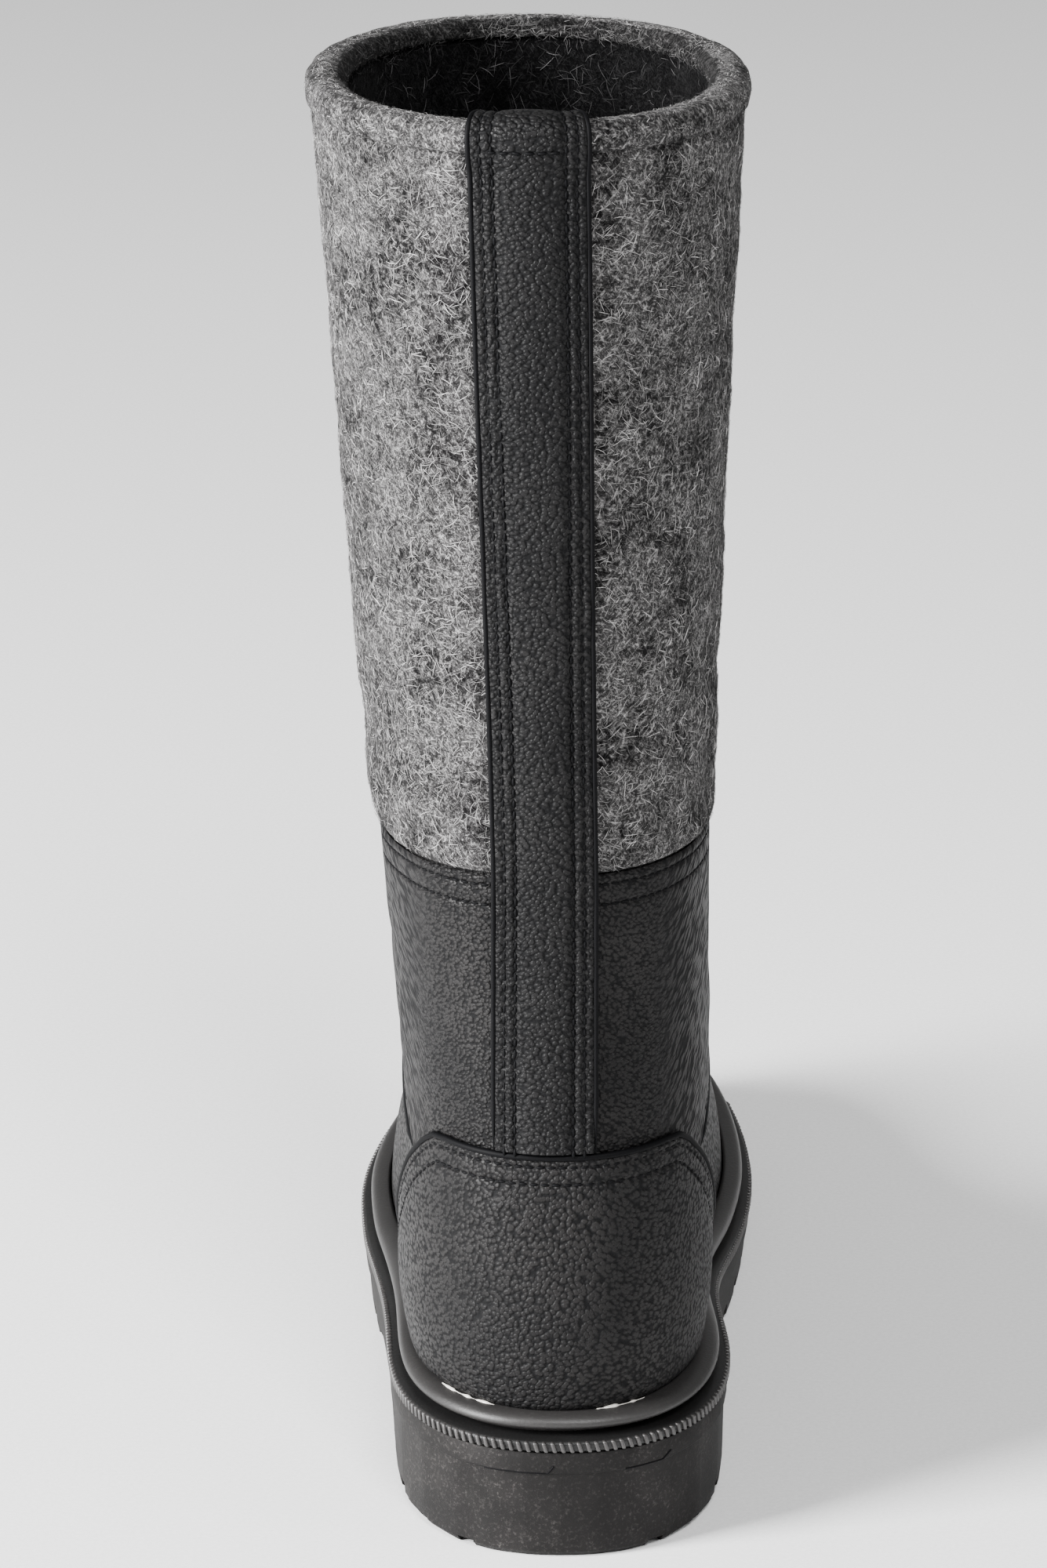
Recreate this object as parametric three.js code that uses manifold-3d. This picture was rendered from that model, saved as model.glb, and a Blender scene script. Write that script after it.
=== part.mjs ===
// A left felt boot: rubber sole, leather foot and felt shaft, each sub-part a solid of its own.
// Millimetres, +X medial, +Y toe, +Z up. While it is modelled, the sole's back edge is at Y = 0
// and the ground is Z = 0. The finished group is centred on its own footprint.

import * as THREE from 'three';
import { mergeVertices } from 'three/addons/utils/BufferGeometryUtils.js';
import Module from 'manifold-3d';

const wasm = await Module();
wasm.setup();

// Overall sizes
const soleLength = 305;
const bootHeight = 350;
const seamHeight = 169;

// The sole's outline
const ballWidth = 104;
const heelWidth = 84;
const heelCentre = 58;
const ballCentre = 195;
const toeSkew = 8;
const heelSquareness = 2.35;
const toeSquareness = 2.1;

// The sole's thickness
const heelThickness = 28;
const foreThickness = 16;
const slopeStart = 56;
const slopeEnd = 180;
const toeSpring = 9;
const springStart = 215;

// Sidewall, tread and heel
const partingDrop = 5;
const partingStep = 0.7;
const bottomRounding = 3;
const treadDepth = 4.5;
const treadRim = 21;
const notchWidth = 5;
const forefootNotches = 8;
const heelNotches = 2;
const biteDepth = 2;
const biteLength = 12;
const starSize = 20;
const starWidth = 7;
const starRoot = 3;
const forefootStars = 5;
const heelStarPlace = 0.47;
const heelEnd = 88;
const archEnd = 136;
const archHeight = 7.5;
const breastSlope = 5;

// Stack between sole and leather
const clearance = 0.3;
const weltHeight = 2.7;
const randHeight = 5.2;
const randInset = 1.7;
const weltLip = 0.3;
const insoleThickness = 4;

// The leather foot
const featherInset = 7.2;
const wallThickness = 5;
const leatherThickness = 2.2;
const lipHeight = 12;
const toeHeight = 56;
const instepHeight = 106;
const archSquareness = 2.4;
const waistBlend = 8;
const instepBlend = 30;
const blendFade = 50;
const heelSeatWidth = 72.3;
const heelSeatBack = 6;
const heelSectionPower = 2.25;

// The ankle at the seam and the collar at the top
const ankleWidth = 77;
const ankleDepth = 107;
const ankleBack = 15.8;
const ankleLean = -3.9;
const collarWidth = 99;
const collarDepth = 129;
const collarBack = 19.5;
const collarLean = -7.8;
const shaftSectionPower = 2.1;

// Overlays
const quarterThickness = 1.5;
const counterThickness = 2.3;
const counterHeight = 100;
const counterLength = 97;
const quarterFrontHeight = 137;
const backstayThickness = 1.6;
const backstayWidth = 25;
const backstayFoldDepth = 9;
const bindingThickness = 1.3;
const bindingDepth = 7.5;

// How finely the curved pieces are faceted, and how far inside the toe and the ankle's ends their
// points are swept from
const segments = 44;
const searchSteps = 24;
const toeSweep = 48;
const ankleSweep = 12;
const gradientStep = 0.4;

// Half widths between heel and ball. Station is the share of the way from heel centre to ball
// centre, and each side is its share of the way from the heel's half width to the ball's.
const waistRows = [
  { station: 0, lateral: 0, medial: 0 },
  { station: 0.16, lateral: 0.08, medial: -0.15 },
  { station: 0.34, lateral: 0.26, medial: -0.24 },
  { station: 0.53, lateral: 0.5, medial: 0.02 },
  { station: 0.75, lateral: 0.84, medial: 0.58 },
  { station: 1, lateral: 1, medial: 1 },
];

// Ridge height over the feather line. Station is a share of the sole's length, and height is the
// share of the way from the toe's height to the instep's.
const ridgeRows = [
  { station: 0.1, height: -0.4 },
  { station: 0.25, height: -0.1 },
  { station: 0.34, height: 0.85 },
  { station: 0.41, height: 1.12 },
  { station: 0.46, height: 0.99 },
  { station: 0.51, height: 0.75 },
  { station: 0.575, height: 0.46 },
  { station: 0.655, height: 0.19 },
  { station: 0.75, height: 0.04 },
  { station: 1, height: 0 },
];

// Heel and ankle sections. Height is a share of the seam's height, toAnkle is the share of the
// way from the heel seat's width to the ankle's, and width scales that. Lean and front are shares
// of the ankle's, and back is the share of the way from the heel seat's back to the ankle's.
const ankleRows = [
  { height: 0.15, toAnkle: 0, width: 0.885, lean: 0.15, back: 0.64, front: 0.888 },
  { height: 0.21, toAnkle: 0, width: 0.925, lean: 0.22, back: 0.29, front: 0.905 },
  { height: 0.33, toAnkle: 0, width: 1, lean: 0.3, back: 0, front: 0.975 },
  { height: 0.46, toAnkle: 0.15, width: 0.995, lean: 0.26, back: 0.09, front: 1.02 },
  { height: 0.59, toAnkle: 0.4, width: 0.965, lean: 0.22, back: 0.43, front: 1.033 },
  { height: 0.74, toAnkle: 0.65, width: 0.967, lean: 0.48, back: 0.79, front: 1.015 },
  { height: 0.86, toAnkle: 0.85, width: 0.978, lean: 0.7, back: 0.94, front: 1.002 },
  { height: 1, toAnkle: 1, width: 1, lean: 1, back: 1, front: 1 },
];

// Shaft sections. Rise is the share of the way from seam to collar, and each other column is its
// share of the way from the ankle's size to the collar's.
const shaftRows = [
  { rise: 0, width: 0, lean: 0, depth: 0 },
  { rise: 0.09, width: 0.13, lean: 0.24, depth: 0.1 },
  { rise: 0.26, width: 0.35, lean: 0.45, depth: 0.3 },
  { rise: 0.42, width: 0.5, lean: 0.57, depth: 0.46 },
  { rise: 0.58, width: 0.64, lean: 0.73, depth: 0.61 },
  { rise: 0.74, width: 0.78, lean: 0.86, depth: 0.76 },
  { rise: 0.9, width: 0.95, lean: 0.98, depth: 0.93 },
  { rise: 1, width: 1.03, lean: 1.03, depth: 1.03 },
];

// Rings of the leather foot. Back is the share of the way from feather line to seam at the heel,
// front is a share of the sole's length, and top is the share of the way up at the front.
const footRings = [
  { back: 0.1, front: 0.97, top: 0.11 },
  { back: 0.14, front: 0.95, top: 0.172 },
  { back: 0.183, front: 0.905, top: 0.232 },
  { back: 0.225, front: 0.846, top: 0.282 },
  { back: 0.275, front: 0.78, top: 0.325 },
  { back: 0.325, front: 0.715, top: 0.367 },
  { back: 0.38, front: 0.652, top: 0.412 },
  { back: 0.44, front: 0.593, top: 0.462 },
  { back: 0.505, front: 0.544, top: 0.522 },
  { back: 0.57, front: 0.502, top: 0.593 },
  { back: 0.645, front: 0.466, top: 0.672 },
  { back: 0.73, front: 0.44, top: 0.755 },
  { back: 0.82, front: 0.421, top: 0.84 },
];

// Heights of the shaft's rings, as shares of the way from seam to collar
const shaftRings = [0.1, 0.24, 0.4, 0.56, 0.72, 0.86];

// Heights of the backstay's rows up to the seam, as shares of the way from counter to seam
const backstayClimb = [0, 0.12, 0.28, 0.45, 0.64, 0.82, 1];

// The counter's front edge and the quarter's front edge, seen from the side. Along is a share of
// the counter's length, and up is a share of the height of the counter or of the quarter's front.
const counterEdge = [
  { along: -0.3, up: 1 },
  { along: 0.23, up: 1 },
  { along: 0.28, up: 0.995 },
  { along: 0.32, up: 0.97 },
  { along: 0.36, up: 0.936 },
  { along: 0.412, up: 0.891 },
  { along: 0.515, up: 0.78 },
  { along: 0.619, up: 0.687 },
  { along: 0.722, up: 0.585 },
  { along: 0.825, up: 0.475 },
  { along: 0.91, up: 0.35 },
  { along: 0.96, up: 0.24 },
  { along: 1, up: 0.1 },
];
const quarterEdge = [
  { along: -0.3, up: 0.4 },
  { along: 0.31, up: 0.584 },
  { along: 0.412, up: 0.653 },
  { along: 0.515, up: 0.688 },
  { along: 0.64, up: 0.728 },
  { along: 0.773, up: 0.774 },
  { along: 0.93, up: 0.828 },
  { along: 1.15, up: 0.909 },
  { along: 1.32, up: 0.967 },
  { along: 1.5, up: 1 },
  { along: 1.9, up: 1 },
];

// Shallow bites round the heel's back corners. Turn is in degrees from straight back.
const heelBites = [
  { turn: 25, width: 4.5 },
  { turn: 42, width: 3 },
  { turn: 58, width: 4.5 },
];

// The rand's section. Across is the share of the way from the leather to its outer edge, and up
// is a share of its height.
const randSection = [
  { across: 0, up: 0 },
  { across: 0.6, up: 0 },
  { across: 0.64, up: 0.26 },
  { across: 0.92, up: 0.34 },
  { across: 1, up: 0.58 },
  { across: 0.9, up: 0.84 },
  { across: 0.62, up: 1 },
  { across: 0, up: 1 },
];

// Working values that follow from the sizes
const rimTop = bootHeight - backstayThickness - clearance;
const shaftTop = rimTop - bindingThickness - clearance;
const feltOffset = clearance + quarterThickness;
const backstayOffset = feltOffset + clearance;
const bindingOuter = feltOffset + clearance + bindingThickness;
const bindingInner = wallThickness + clearance + bindingThickness;
const soleTip = soleLength - featherInset;
const featherLift = weltHeight + clearance + randHeight + clearance;

const lerp = THREE.MathUtils.lerp;
const clamp = THREE.MathUtils.clamp;
const ease = (value, low, high) => THREE.MathUtils.smoothstep(value, low, high);

// Smooth curve through a table's rows, without overshoot between them
function readTable(rows, key, column, at) {
  if (at <= rows[0][key]) return rows[0][column];
  const last = rows.length - 1;
  if (at >= rows[last][key]) return rows[last][column];
  const index = rows.findIndex((row) => row[key] > at) - 1;
  const slope = (i) => (rows[i + 1][column] - rows[i][column]) / (rows[i + 1][key] - rows[i][key]);
  const tangent = (i) => {
    if (i === 0) return slope(0);
    if (i === last) return slope(last - 1);
    const before = slope(i - 1);
    const after = slope(i);
    return before * after <= 0 ? 0 : (2 * before * after) / (before + after);
  };
  const span = rows[index + 1][key] - rows[index][key];
  const t = (at - rows[index][key]) / span;
  const start = rows[index][column];
  const end = rows[index + 1][column];
  const startPull = tangent(index) * span * t * (1 - t) ** 2;
  const endPull = tangent(index + 1) * span * t * t * (1 - t);
  return lerp(start, end, t * t * (3 - 2 * t)) + startPull - endPull;
}

// Height of the ground side of the sole, which lifts under the toe
function groundHeight(y) {
  const t = clamp((y - springStart) / (soleLength - springStart), 0, 1);
  return toeSpring * t * t;
}

// Height of the sole's upper face
function soleTop(y) {
  const thickness = lerp(heelThickness, foreThickness, ease(y, slopeStart, slopeEnd));
  return thickness + groundHeight(y);
}

const featherLine = (y) => soleTop(y) + clearance;

// Middle of the foot at a place along it, which turns medially towards the toe's tip
function midline(y) {
  const t = clamp((y - ballCentre) / (soleLength - ballCentre), 0, 1);
  return toeSkew * t ** 1.3;
}

function halfWidth(side, y, inset) {
  const station = (y - heelCentre) / (ballCentre - heelCentre);
  const share = readTable(waistRows, 'station', side, station);
  return lerp(heelWidth / 2, ballWidth / 2, share) - inset;
}

// How far into the round of the heel or the toe a place lies, as a share, and how square that is
function roundShare(y, inset) {
  if (y < heelCentre) return { along: (heelCentre - y) / (heelCentre - inset), power: heelSquareness };
  const along = Math.max(0, (y - ballCentre) / (soleLength - inset - ballCentre));
  return { along, power: toeSquareness };
}

// How far a place lies out from the middle, as a share of the outline's reach there
function planReach(x, y, inset) {
  const across = x - midline(y);
  const width = halfWidth(across < 0 ? 'lateral' : 'medial', y, inset);
  const { along, power } = roundShare(y, inset);
  return (Math.abs(across / width) ** power + along ** power) ** (1 / power);
}

const outside = (distance, reach) => distance - distance / Math.max(reach, 1e-6);

// Signed distance from the sole's outline, less than nothing inside it
function outlineField({ x, y }) {
  const along = Math.max(0, heelCentre - y, y - ballCentre);
  return outside(Math.hypot(x - midline(y), along) + 0.01, planReach(x, y, 0));
}

// Signed distance from the forepart of the foot
function forepartField({ x, y, z }) {
  const inset = lerp(2 * featherInset, featherInset, ease(y, heelCentre, slopeEnd));
  const plan = planReach(x, y, inset);
  const share = readTable(ridgeRows, 'station', 'height', y / soleLength);
  const rise = Math.max(0, z - featherLine(y));
  const reach = (plan ** archSquareness + (rise / lerp(toeHeight, instepHeight, share)) ** archSquareness);
  const along = Math.max(0, heelCentre - y, y - ballCentre);
  const distance = Math.hypot(x - midline(y), along, rise) + 0.01;
  return outside(distance, reach ** (1 / archSquareness));
}

// Width, middle, back and front of the heel, ankle and shaft at a height
function columnSection(z) {
  if (z < seamHeight) {
    const read = (column) => readTable(ankleRows, 'height', column, z / seamHeight);
    return {
      width: read('width') * lerp(heelSeatWidth, ankleWidth, read('toAnkle')),
      lean: read('lean') * ankleLean,
      back: lerp(heelSeatBack, ankleBack, read('back')),
      front: read('front') * (ankleBack + ankleDepth),
      power: heelSectionPower,
    };
  }
  const rise = (z - seamHeight) / (shaftTop - seamHeight);
  const read = (column, low, high) => lerp(low, high, readTable(shaftRows, 'rise', column, rise));
  const back = read('depth', ankleBack, collarBack);
  return {
    width: read('width', ankleWidth, collarWidth),
    lean: read('lean', ankleLean, collarLean),
    back,
    front: back + read('depth', ankleDepth, collarDepth),
    power: lerp(heelSectionPower, shaftSectionPower, clamp(rise * 4, 0, 1)),
  };
}

// Signed distance from the heel, ankle and shaft
function columnField({ x, y, z }) {
  const section = columnSection(z);
  const across = x - section.lean;
  const along = y - (section.back + section.front) / 2;
  const shareAcross = Math.abs(across) / (section.width / 2);
  const shareAlong = Math.abs(along) / ((section.front - section.back) / 2);
  const reach = (shareAcross ** section.power + shareAlong ** section.power) ** (1 / section.power);
  return outside(Math.hypot(across, along) + 0.01, reach);
}

// Both forms joined with a soft hollow where they meet
function bootField(point) {
  const column = columnField(point);
  if (point.z > seamHeight) return column;
  const forepart = forepartField(point);
  const blend = lerp(waistBlend, instepBlend, ease(point.y, heelEnd, archEnd));
  const radius = blend * (1 - ease(point.z, seamHeight - blendFade, seamHeight));
  if (radius < 0.01) return Math.min(column, forepart);
  const share = clamp(0.5 + (forepart - column) / (2 * radius), 0, 1);
  return lerp(forepart, column, share) - radius * share * (1 - share);
}

// How fast a field rises in each direction
function slopeOf(field, point) {
  const sample = (x, y, z) => field({ x: point.x + x, y: point.y + y, z: point.z + z });
  const step = gradientStep;
  return new THREE.Vector3(
    sample(step, 0, 0) - sample(-step, 0, 0),
    sample(0, step, 0) - sample(0, -step, 0),
    sample(0, 0, step) - sample(0, 0, -step),
  ).divideScalar(2 * step);
}

// A field divided by its slope, so that it reads as millimetres
const distanceFrom = (field, point) => field(point) / slopeOf(field, point).length();

// A point of a ring: a level line is followed outwards until it lies at the offset from the field
function ringPoint(field, level, angle, offset) {
  const share = (1 - Math.cos(angle)) / 2;
  const start = {
    x: lerp(level.back.x, level.front.x, share),
    y: lerp(level.back.y, level.front.y, share),
  };
  const at = (radius) => {
    const x = start.x + Math.sin(angle) * radius;
    const y = start.y - Math.cos(angle) * radius;
    return { x, y, z: level.height(y) };
  };
  let near = 0;
  let far = soleLength / 2;
  for (let step = 0; step < searchSteps; step += 1) {
    const middle = (near + far) / 2;
    if (distanceFrom(field, at(middle)) < offset) near = middle;
    else far = middle;
  }
  const found = at(near);
  return new THREE.Vector3(found.x, found.y, found.z);
}

const angles = Array.from({ length: segments }, (_, i) => (i / segments) * 2 * Math.PI);

const bootRing = (level, offset) => angles.map((angle) => ringPoint(bootField, level, angle, offset));
const outlineRing = (level, inset) => angles.map((angle) => ringPoint(outlineField, level, angle, -inset));

// Level over the whole sole, at a height that follows the sole's upper face
function footLevel(height) {
  return {
    back: { x: 0, y: heelCentre },
    front: { x: midline(soleTip - toeSweep), y: soleTip - toeSweep },
    height,
  };
}

// A ring of the boot's surface lifted off it, with its corners over the surface's own corners
function liftedRing(level, lift, sideways = false) {
  return bootRing(level, 0).map((point) => {
    const normal = slopeOf(bootField, point);
    if (sideways) normal.z = 0;
    return point.addScaledVector(normal.normalize(), lift);
  });
}

const featherLevel = footLevel(featherLine);
const randTopLevel = footLevel((y) => featherLine(y) + featherLift);

// Level that leans from a height at the heel to one on the vamp, and keeps less of the sole's
// curve the higher it lies
function ringLevel(row) {
  const frontY = row.front * soleLength;
  const backZ = lerp(featherLine(0), seamHeight, row.back);
  const frontZ = lerp(featherLine(frontY), seamHeight, row.top);
  const follow = 1 - ease(row.back, 0.05, 0.5);
  const height = (y) => {
    const share = y / frontY;
    const curve = featherLine(y) - lerp(featherLine(0), featherLine(frontY), share);
    return lerp(backZ, frontZ, share) + follow * curve;
  };
  const frontStart = Math.max(frontY - toeSweep, heelCentre + ankleSweep);
  return {
    back: { x: columnSection(backZ).lean, y: heelCentre },
    front: { x: lerp(columnSection(backZ).lean, midline(frontStart), ease(row.front, 0.45, 0.6)), y: frontStart },
    height,
  };
}

// Flat level through the ankle or shaft
function flatLevel(z) {
  const section = columnSection(z);
  const middle = (section.back + section.front) / 2;
  return {
    back: { x: section.lean, y: middle - ankleSweep },
    front: { x: section.lean, y: middle + ankleSweep },
    height: () => z,
  };
}

const footLevels = [randTopLevel, ...footRings.map(ringLevel)];
const lipLevel = flatLevel(seamHeight - lipHeight);
const seamLevel = flatLevel(seamHeight);
const shaftLevels = shaftRings.map((rise) => flatLevel(lerp(seamHeight, shaftTop, rise)));

// Closed geometry from vertices and triangles
function geometryFrom(vertices, triangles) {
  const geometry = new THREE.BufferGeometry();
  geometry.setAttribute('position', new THREE.Float32BufferAttribute(vertices.flatMap((v) => [v.x, v.y, v.z]), 3));
  geometry.setIndex(triangles);
  return geometry;
}

// Two triangles for each cell. Cells of the rings that run back down are split along their other
// diagonal, so that inner and outer faces of a wall stay parallel.
function sideTriangles(ringCount, closed, risingCount = ringCount) {
  const triangles = [];
  const steps = closed ? ringCount : ringCount - 1;
  for (let ring = 0; ring < steps; ring += 1) {
    const above = (ring + 1) % ringCount;
    for (let i = 0; i < segments; i += 1) {
      const next = (i + 1) % segments;
      const a = ring * segments + i;
      const b = ring * segments + next;
      const c = above * segments + next;
      const d = above * segments + i;
      if (ring < risingCount) triangles.push(a, b, c, a, c, d);
      else triangles.push(a, b, d, b, c, d);
    }
  }
  return triangles;
}

// Wall whose section runs up the outside, over the edge and down the inside
function wall(rising, falling = []) {
  const rings = [...rising, ...falling];
  return geometryFrom(rings.flat(), sideTriangles(rings.length, true, rising.length));
}

// Solid between a lowest and a highest ring, each closed by strips from side to side
function slab(rings) {
  const triangles = sideTriangles(rings.length, false);
  const top = (rings.length - 1) * segments;
  for (let i = 0; i < segments / 2; i += 1) {
    const right = i;
    const rightNext = i + 1;
    const left = (segments - i) % segments;
    const leftNext = segments - i - 1;
    if (rightNext !== leftNext) {
      triangles.push(top + right, top + rightNext, top + leftNext, right, leftNext, rightNext);
    }
    if (right !== left) {
      triangles.push(top + right, top + leftNext, top + left, right, left, leftNext);
    }
  }
  return geometryFrom(rings.flat(), triangles);
}

function toSolid(source) {
  const bare = source.clone();
  bare.deleteAttribute('normal');
  bare.deleteAttribute('uv');
  const merged = mergeVertices(bare, 1e-5);
  return new wasm.Manifold(new wasm.Mesh({
    numProp: 3,
    vertProperties: new Float32Array(merged.attributes.position.array),
    triVerts: new Uint32Array(merged.index.array),
  }));
}

function toGeometry(solid) {
  const mesh = solid.getMesh();
  const geometry = new THREE.BufferGeometry();
  geometry.setAttribute('position', new THREE.Float32BufferAttribute(mesh.vertProperties, 3));
  geometry.setIndex(Array.from(mesh.triVerts));
  return geometry;
}

// Block from a side view, as wide as the boot and more
function sidePrism(points) {
  const shape = new THREE.Shape(points.map(({ y, z }) => new THREE.Vector2(y, z)));
  const geometry = new THREE.ExtrudeGeometry(shape, { depth: 2 * ballWidth, bevelEnabled: false, steps: 1 });
  const alongY = new THREE.Vector3(0, 1, 0);
  const alongZ = new THREE.Vector3(0, 0, 1);
  const alongX = new THREE.Vector3(1, 0, 0);
  geometry.applyMatrix4(new THREE.Matrix4().makeBasis(alongY, alongZ, alongX));
  geometry.translate(-ballWidth, 0, 0);
  return toSolid(geometry);
}

function block(width, length, height, x, y, z, turn = 0) {
  const geometry = new THREE.BoxGeometry(width, length, height);
  geometry.rotateZ(turn);
  geometry.translate(x, y, z);
  return toSolid(geometry);
}

// Outsole

function soleBody() {
  const rows = [
    { inset: bottomRounding, height: (y) => groundHeight(y) },
    { inset: bottomRounding * 0.45, height: (y) => groundHeight(y) + bottomRounding * 0.55 },
    { inset: partingStep + 0.3, height: (y) => groundHeight(y) + bottomRounding * 1.8 },
    { inset: partingStep, height: (y) => soleTop(y) - partingDrop - partingStep },
    { inset: 0, height: (y) => soleTop(y) - partingDrop },
    { inset: 0, height: soleTop },
  ];
  return toSolid(slab(rows.map((row) => outlineRing(footLevel(row.height), row.inset))));
}

// Hollow of the tread inside its rim of side lugs
function treadBasin() {
  const low = outlineRing(footLevel((y) => groundHeight(y) - treadDepth), treadRim);
  const high = outlineRing(footLevel((y) => groundHeight(y) + treadDepth), treadRim);
  const whole = toSolid(slab([low, high]));
  const rim = treadRim * 0.7;
  const archLength = archEnd - heelEnd + 2 * rim;
  const arch = block(2 * ballWidth, archLength, 4 * treadDepth, 0, (heelEnd + archEnd) / 2, 0);
  return whole.subtract(arch);
}

// Crossed bars that stand on the tread's floor and are rooted in it
function starLug(x, y) {
  const height = treadDepth + starRoot;
  const bar = (turn) => block(starWidth, starSize, height, x, y, groundHeight(y) + height / 2, turn);
  return bar(Math.PI / 4).add(bar(-Math.PI / 4));
}

function notch(side, y, lean) {
  const { along, power } = roundShare(y, 0);
  const width = halfWidth(side < 0 ? 'lateral' : 'medial', y, 0) * (1 - along ** power) ** (1 / power);
  const length = treadRim * 1.6;
  const x = midline(y) + side * (width - treadRim * 0.35);
  return block(length, notchWidth, 2 * treadDepth, x, y, groundHeight(y), side * lean);
}

function bite(side, { turn, width }) {
  const angle = THREE.MathUtils.degToRad(turn);
  const power = heelSquareness;
  const over = (Math.sin(angle) * 2) / heelWidth;
  const back = Math.cos(angle) / heelCentre;
  const reach = (over ** power + back ** power) ** (-1 / power) - biteLength * 0.25;
  const x = side * Math.sin(angle) * reach;
  const y = heelCentre - Math.cos(angle) * reach;
  return block(width, biteLength, 2 * biteDepth, midline(y) + x, y, groundHeight(y), side * angle);
}

function outsole() {
  const foreLength = soleLength - archEnd;
  let cutter = treadBasin();
  for (const side of [-1, 1]) {
    for (let i = 0; i < forefootNotches; i += 1) {
      const share = (i + 0.55) / forefootNotches;
      const lean = lerp(0.12, 0.95, share ** 3);
      cutter = cutter.add(notch(side, archEnd + foreLength * share * 0.93, lean));
    }
    for (let i = 0; i < heelNotches; i += 1) {
      const share = i / heelNotches;
      cutter = cutter.add(notch(side, heelEnd * lerp(0.46, 0.98, share), lerp(-0.53, -0.1, share)));
    }
    for (const row of heelBites) cutter = cutter.add(bite(side, row));
  }
  for (let i = 0; i < forefootStars; i += 1) {
    const y = archEnd + foreLength * lerp(0.17, 0.81, i / (forefootStars - 1));
    cutter = cutter.subtract(starLug(midline(y), y));
  }
  cutter = cutter.subtract(starLug(0, heelEnd * heelStarPlace));
  const arch = sidePrism([
    { y: heelEnd, z: -1 },
    { y: archEnd + breastSlope, z: -1 },
    { y: archEnd, z: archHeight * 0.4 },
    { y: lerp(heelEnd, archEnd, 0.7), z: archHeight * 0.95 },
    { y: heelEnd + breastSlope, z: archHeight },
  ]);
  return toGeometry(soleBody().subtract(cutter).subtract(arch));
}

// Welt and rand

// Ring that hugs the leather at a rise over the feather line
function leatherEdge(rise) {
  const low = liftedRing(featherLevel, clearance, true);
  const high = liftedRing(randTopLevel, clearance, true);
  return low.map((point, i) => point.lerp(high[i], rise / featherLift));
}

function welt() {
  const over = footLevel((y) => featherLine(y) + weltHeight);
  const lip = footLevel((y) => featherLine(y) + weltHeight * 0.8);
  const outer = [outlineRing(featherLevel, 0), outlineRing(lip, -weltLip), outlineRing(over, weltLip)];
  return wall(outer, [leatherEdge(weltHeight), leatherEdge(0)]);
}

function rand() {
  const base = weltHeight + clearance;
  const rings = randSection.map(({ across, up }) => {
    const inner = leatherEdge(base + up * randHeight);
    const outer = outlineRing(footLevel((y) => featherLine(y) + base + up * randHeight), randInset);
    return inner.map((point, i) => point.clone().lerp(outer[i], across));
  });
  return wall(rings.slice(0, -1), rings.slice(-1));
}

// Foot of the boot

function insole() {
  const low = footLevel((y) => featherLine(y));
  const high = footLevel((y) => featherLine(y) + insoleThickness);
  const fit = -(wallThickness + clearance);
  return slab([bootRing(low, fit - 0.4), bootRing(high, fit)]);
}

function upper() {
  const outer = [featherLevel, ...footLevels, lipLevel, seamLevel].map((level) => bootRing(level, 0));
  const lip = [bootRing(seamLevel, -leatherThickness), bootRing(lipLevel, -leatherThickness)];
  const lining = [lipLevel, ...footLevels.slice().reverse(), featherLevel];
  return wall(outer, [...lip, ...lining.map((level) => bootRing(level, -wallThickness))]);
}

// Felt shaft, with a tongue that reaches down behind the leather's edge

function shaft() {
  const low = flatLevel(seamHeight + clearance);
  const tongueEnd = flatLevel(seamHeight - lipHeight + clearance);
  const top = flatLevel(shaftTop);
  const tongueOffset = -(leatherThickness + clearance);
  const outer = [low, ...shaftLevels, top].map((level) => bootRing(level, feltOffset));
  const inner = [top, ...shaftLevels.slice().reverse(), low, tongueEnd];
  const tongue = [bootRing(tongueEnd, tongueOffset), bootRing(low, tongueOffset)];
  return wall(outer, [...inner.map((level) => bootRing(level, -wallThickness)), ...tongue]);
}

// Folded felt over the shaft's top edge

function collarBinding() {
  const edge = flatLevel(shaftTop - bindingDepth);
  const shoulder = flatLevel(rimTop - bindingThickness * 1.6);
  const under = flatLevel(shaftTop + clearance);
  const top = flatLevel(rimTop);
  const inset = bindingThickness * 1.5;
  return wall([
    bootRing(edge, feltOffset + clearance),
    bootRing(edge, bindingOuter),
    bootRing(shoulder, bindingOuter),
    bootRing(top, bindingOuter - inset),
    bootRing(top, -(bindingInner - inset)),
    bootRing(shoulder, -bindingInner),
    bootRing(edge, -bindingInner),
    bootRing(edge, -(wallThickness + clearance)),
    bootRing(under, -(wallThickness + clearance)),
    bootRing(under, feltOffset + clearance),
  ]);
}

// Leather overlays, cut between two larger forms of the upper

function overlayForm(thickness) {
  const levels = [...footLevels.slice(1), lipLevel, flatLevel(seamHeight - clearance)];
  const rise = (lift) => [
    liftedRing(randTopLevel, lift, true),
    ...levels.map((level) => liftedRing(level, lift)),
  ];
  return toSolid(wall(rise(clearance + thickness), rise(clearance).reverse()));
}

function edgePoints(rows, length, height, grow) {
  return rows.map(({ along, up }) => ({ y: along * length + grow, z: up * height + grow }));
}

// Everything behind and below the counter's edge
function counterPrism(grow) {
  const edge = edgePoints(counterEdge, counterLength, counterHeight, grow);
  const back = edge[0].y;
  return sidePrism([{ y: back, z: 0 }, { y: edge[edge.length - 1].y, z: 0 }, ...edge.reverse()]);
}

function heelCounter() {
  return toGeometry(overlayForm(counterThickness).intersect(counterPrism(0)));
}

function quarter() {
  const edge = edgePoints(quarterEdge, counterLength, quarterFrontHeight, 0);
  const back = edge[0].y;
  const front = edge[edge.length - 1].y;
  const region = sidePrism([...edge, { y: front, z: seamHeight + 1 }, { y: back, z: seamHeight + 1 }]);
  return toGeometry(overlayForm(quarterThickness).intersect(region).subtract(counterPrism(clearance)));
}

// Strip up the back seam and over the rim

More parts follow.
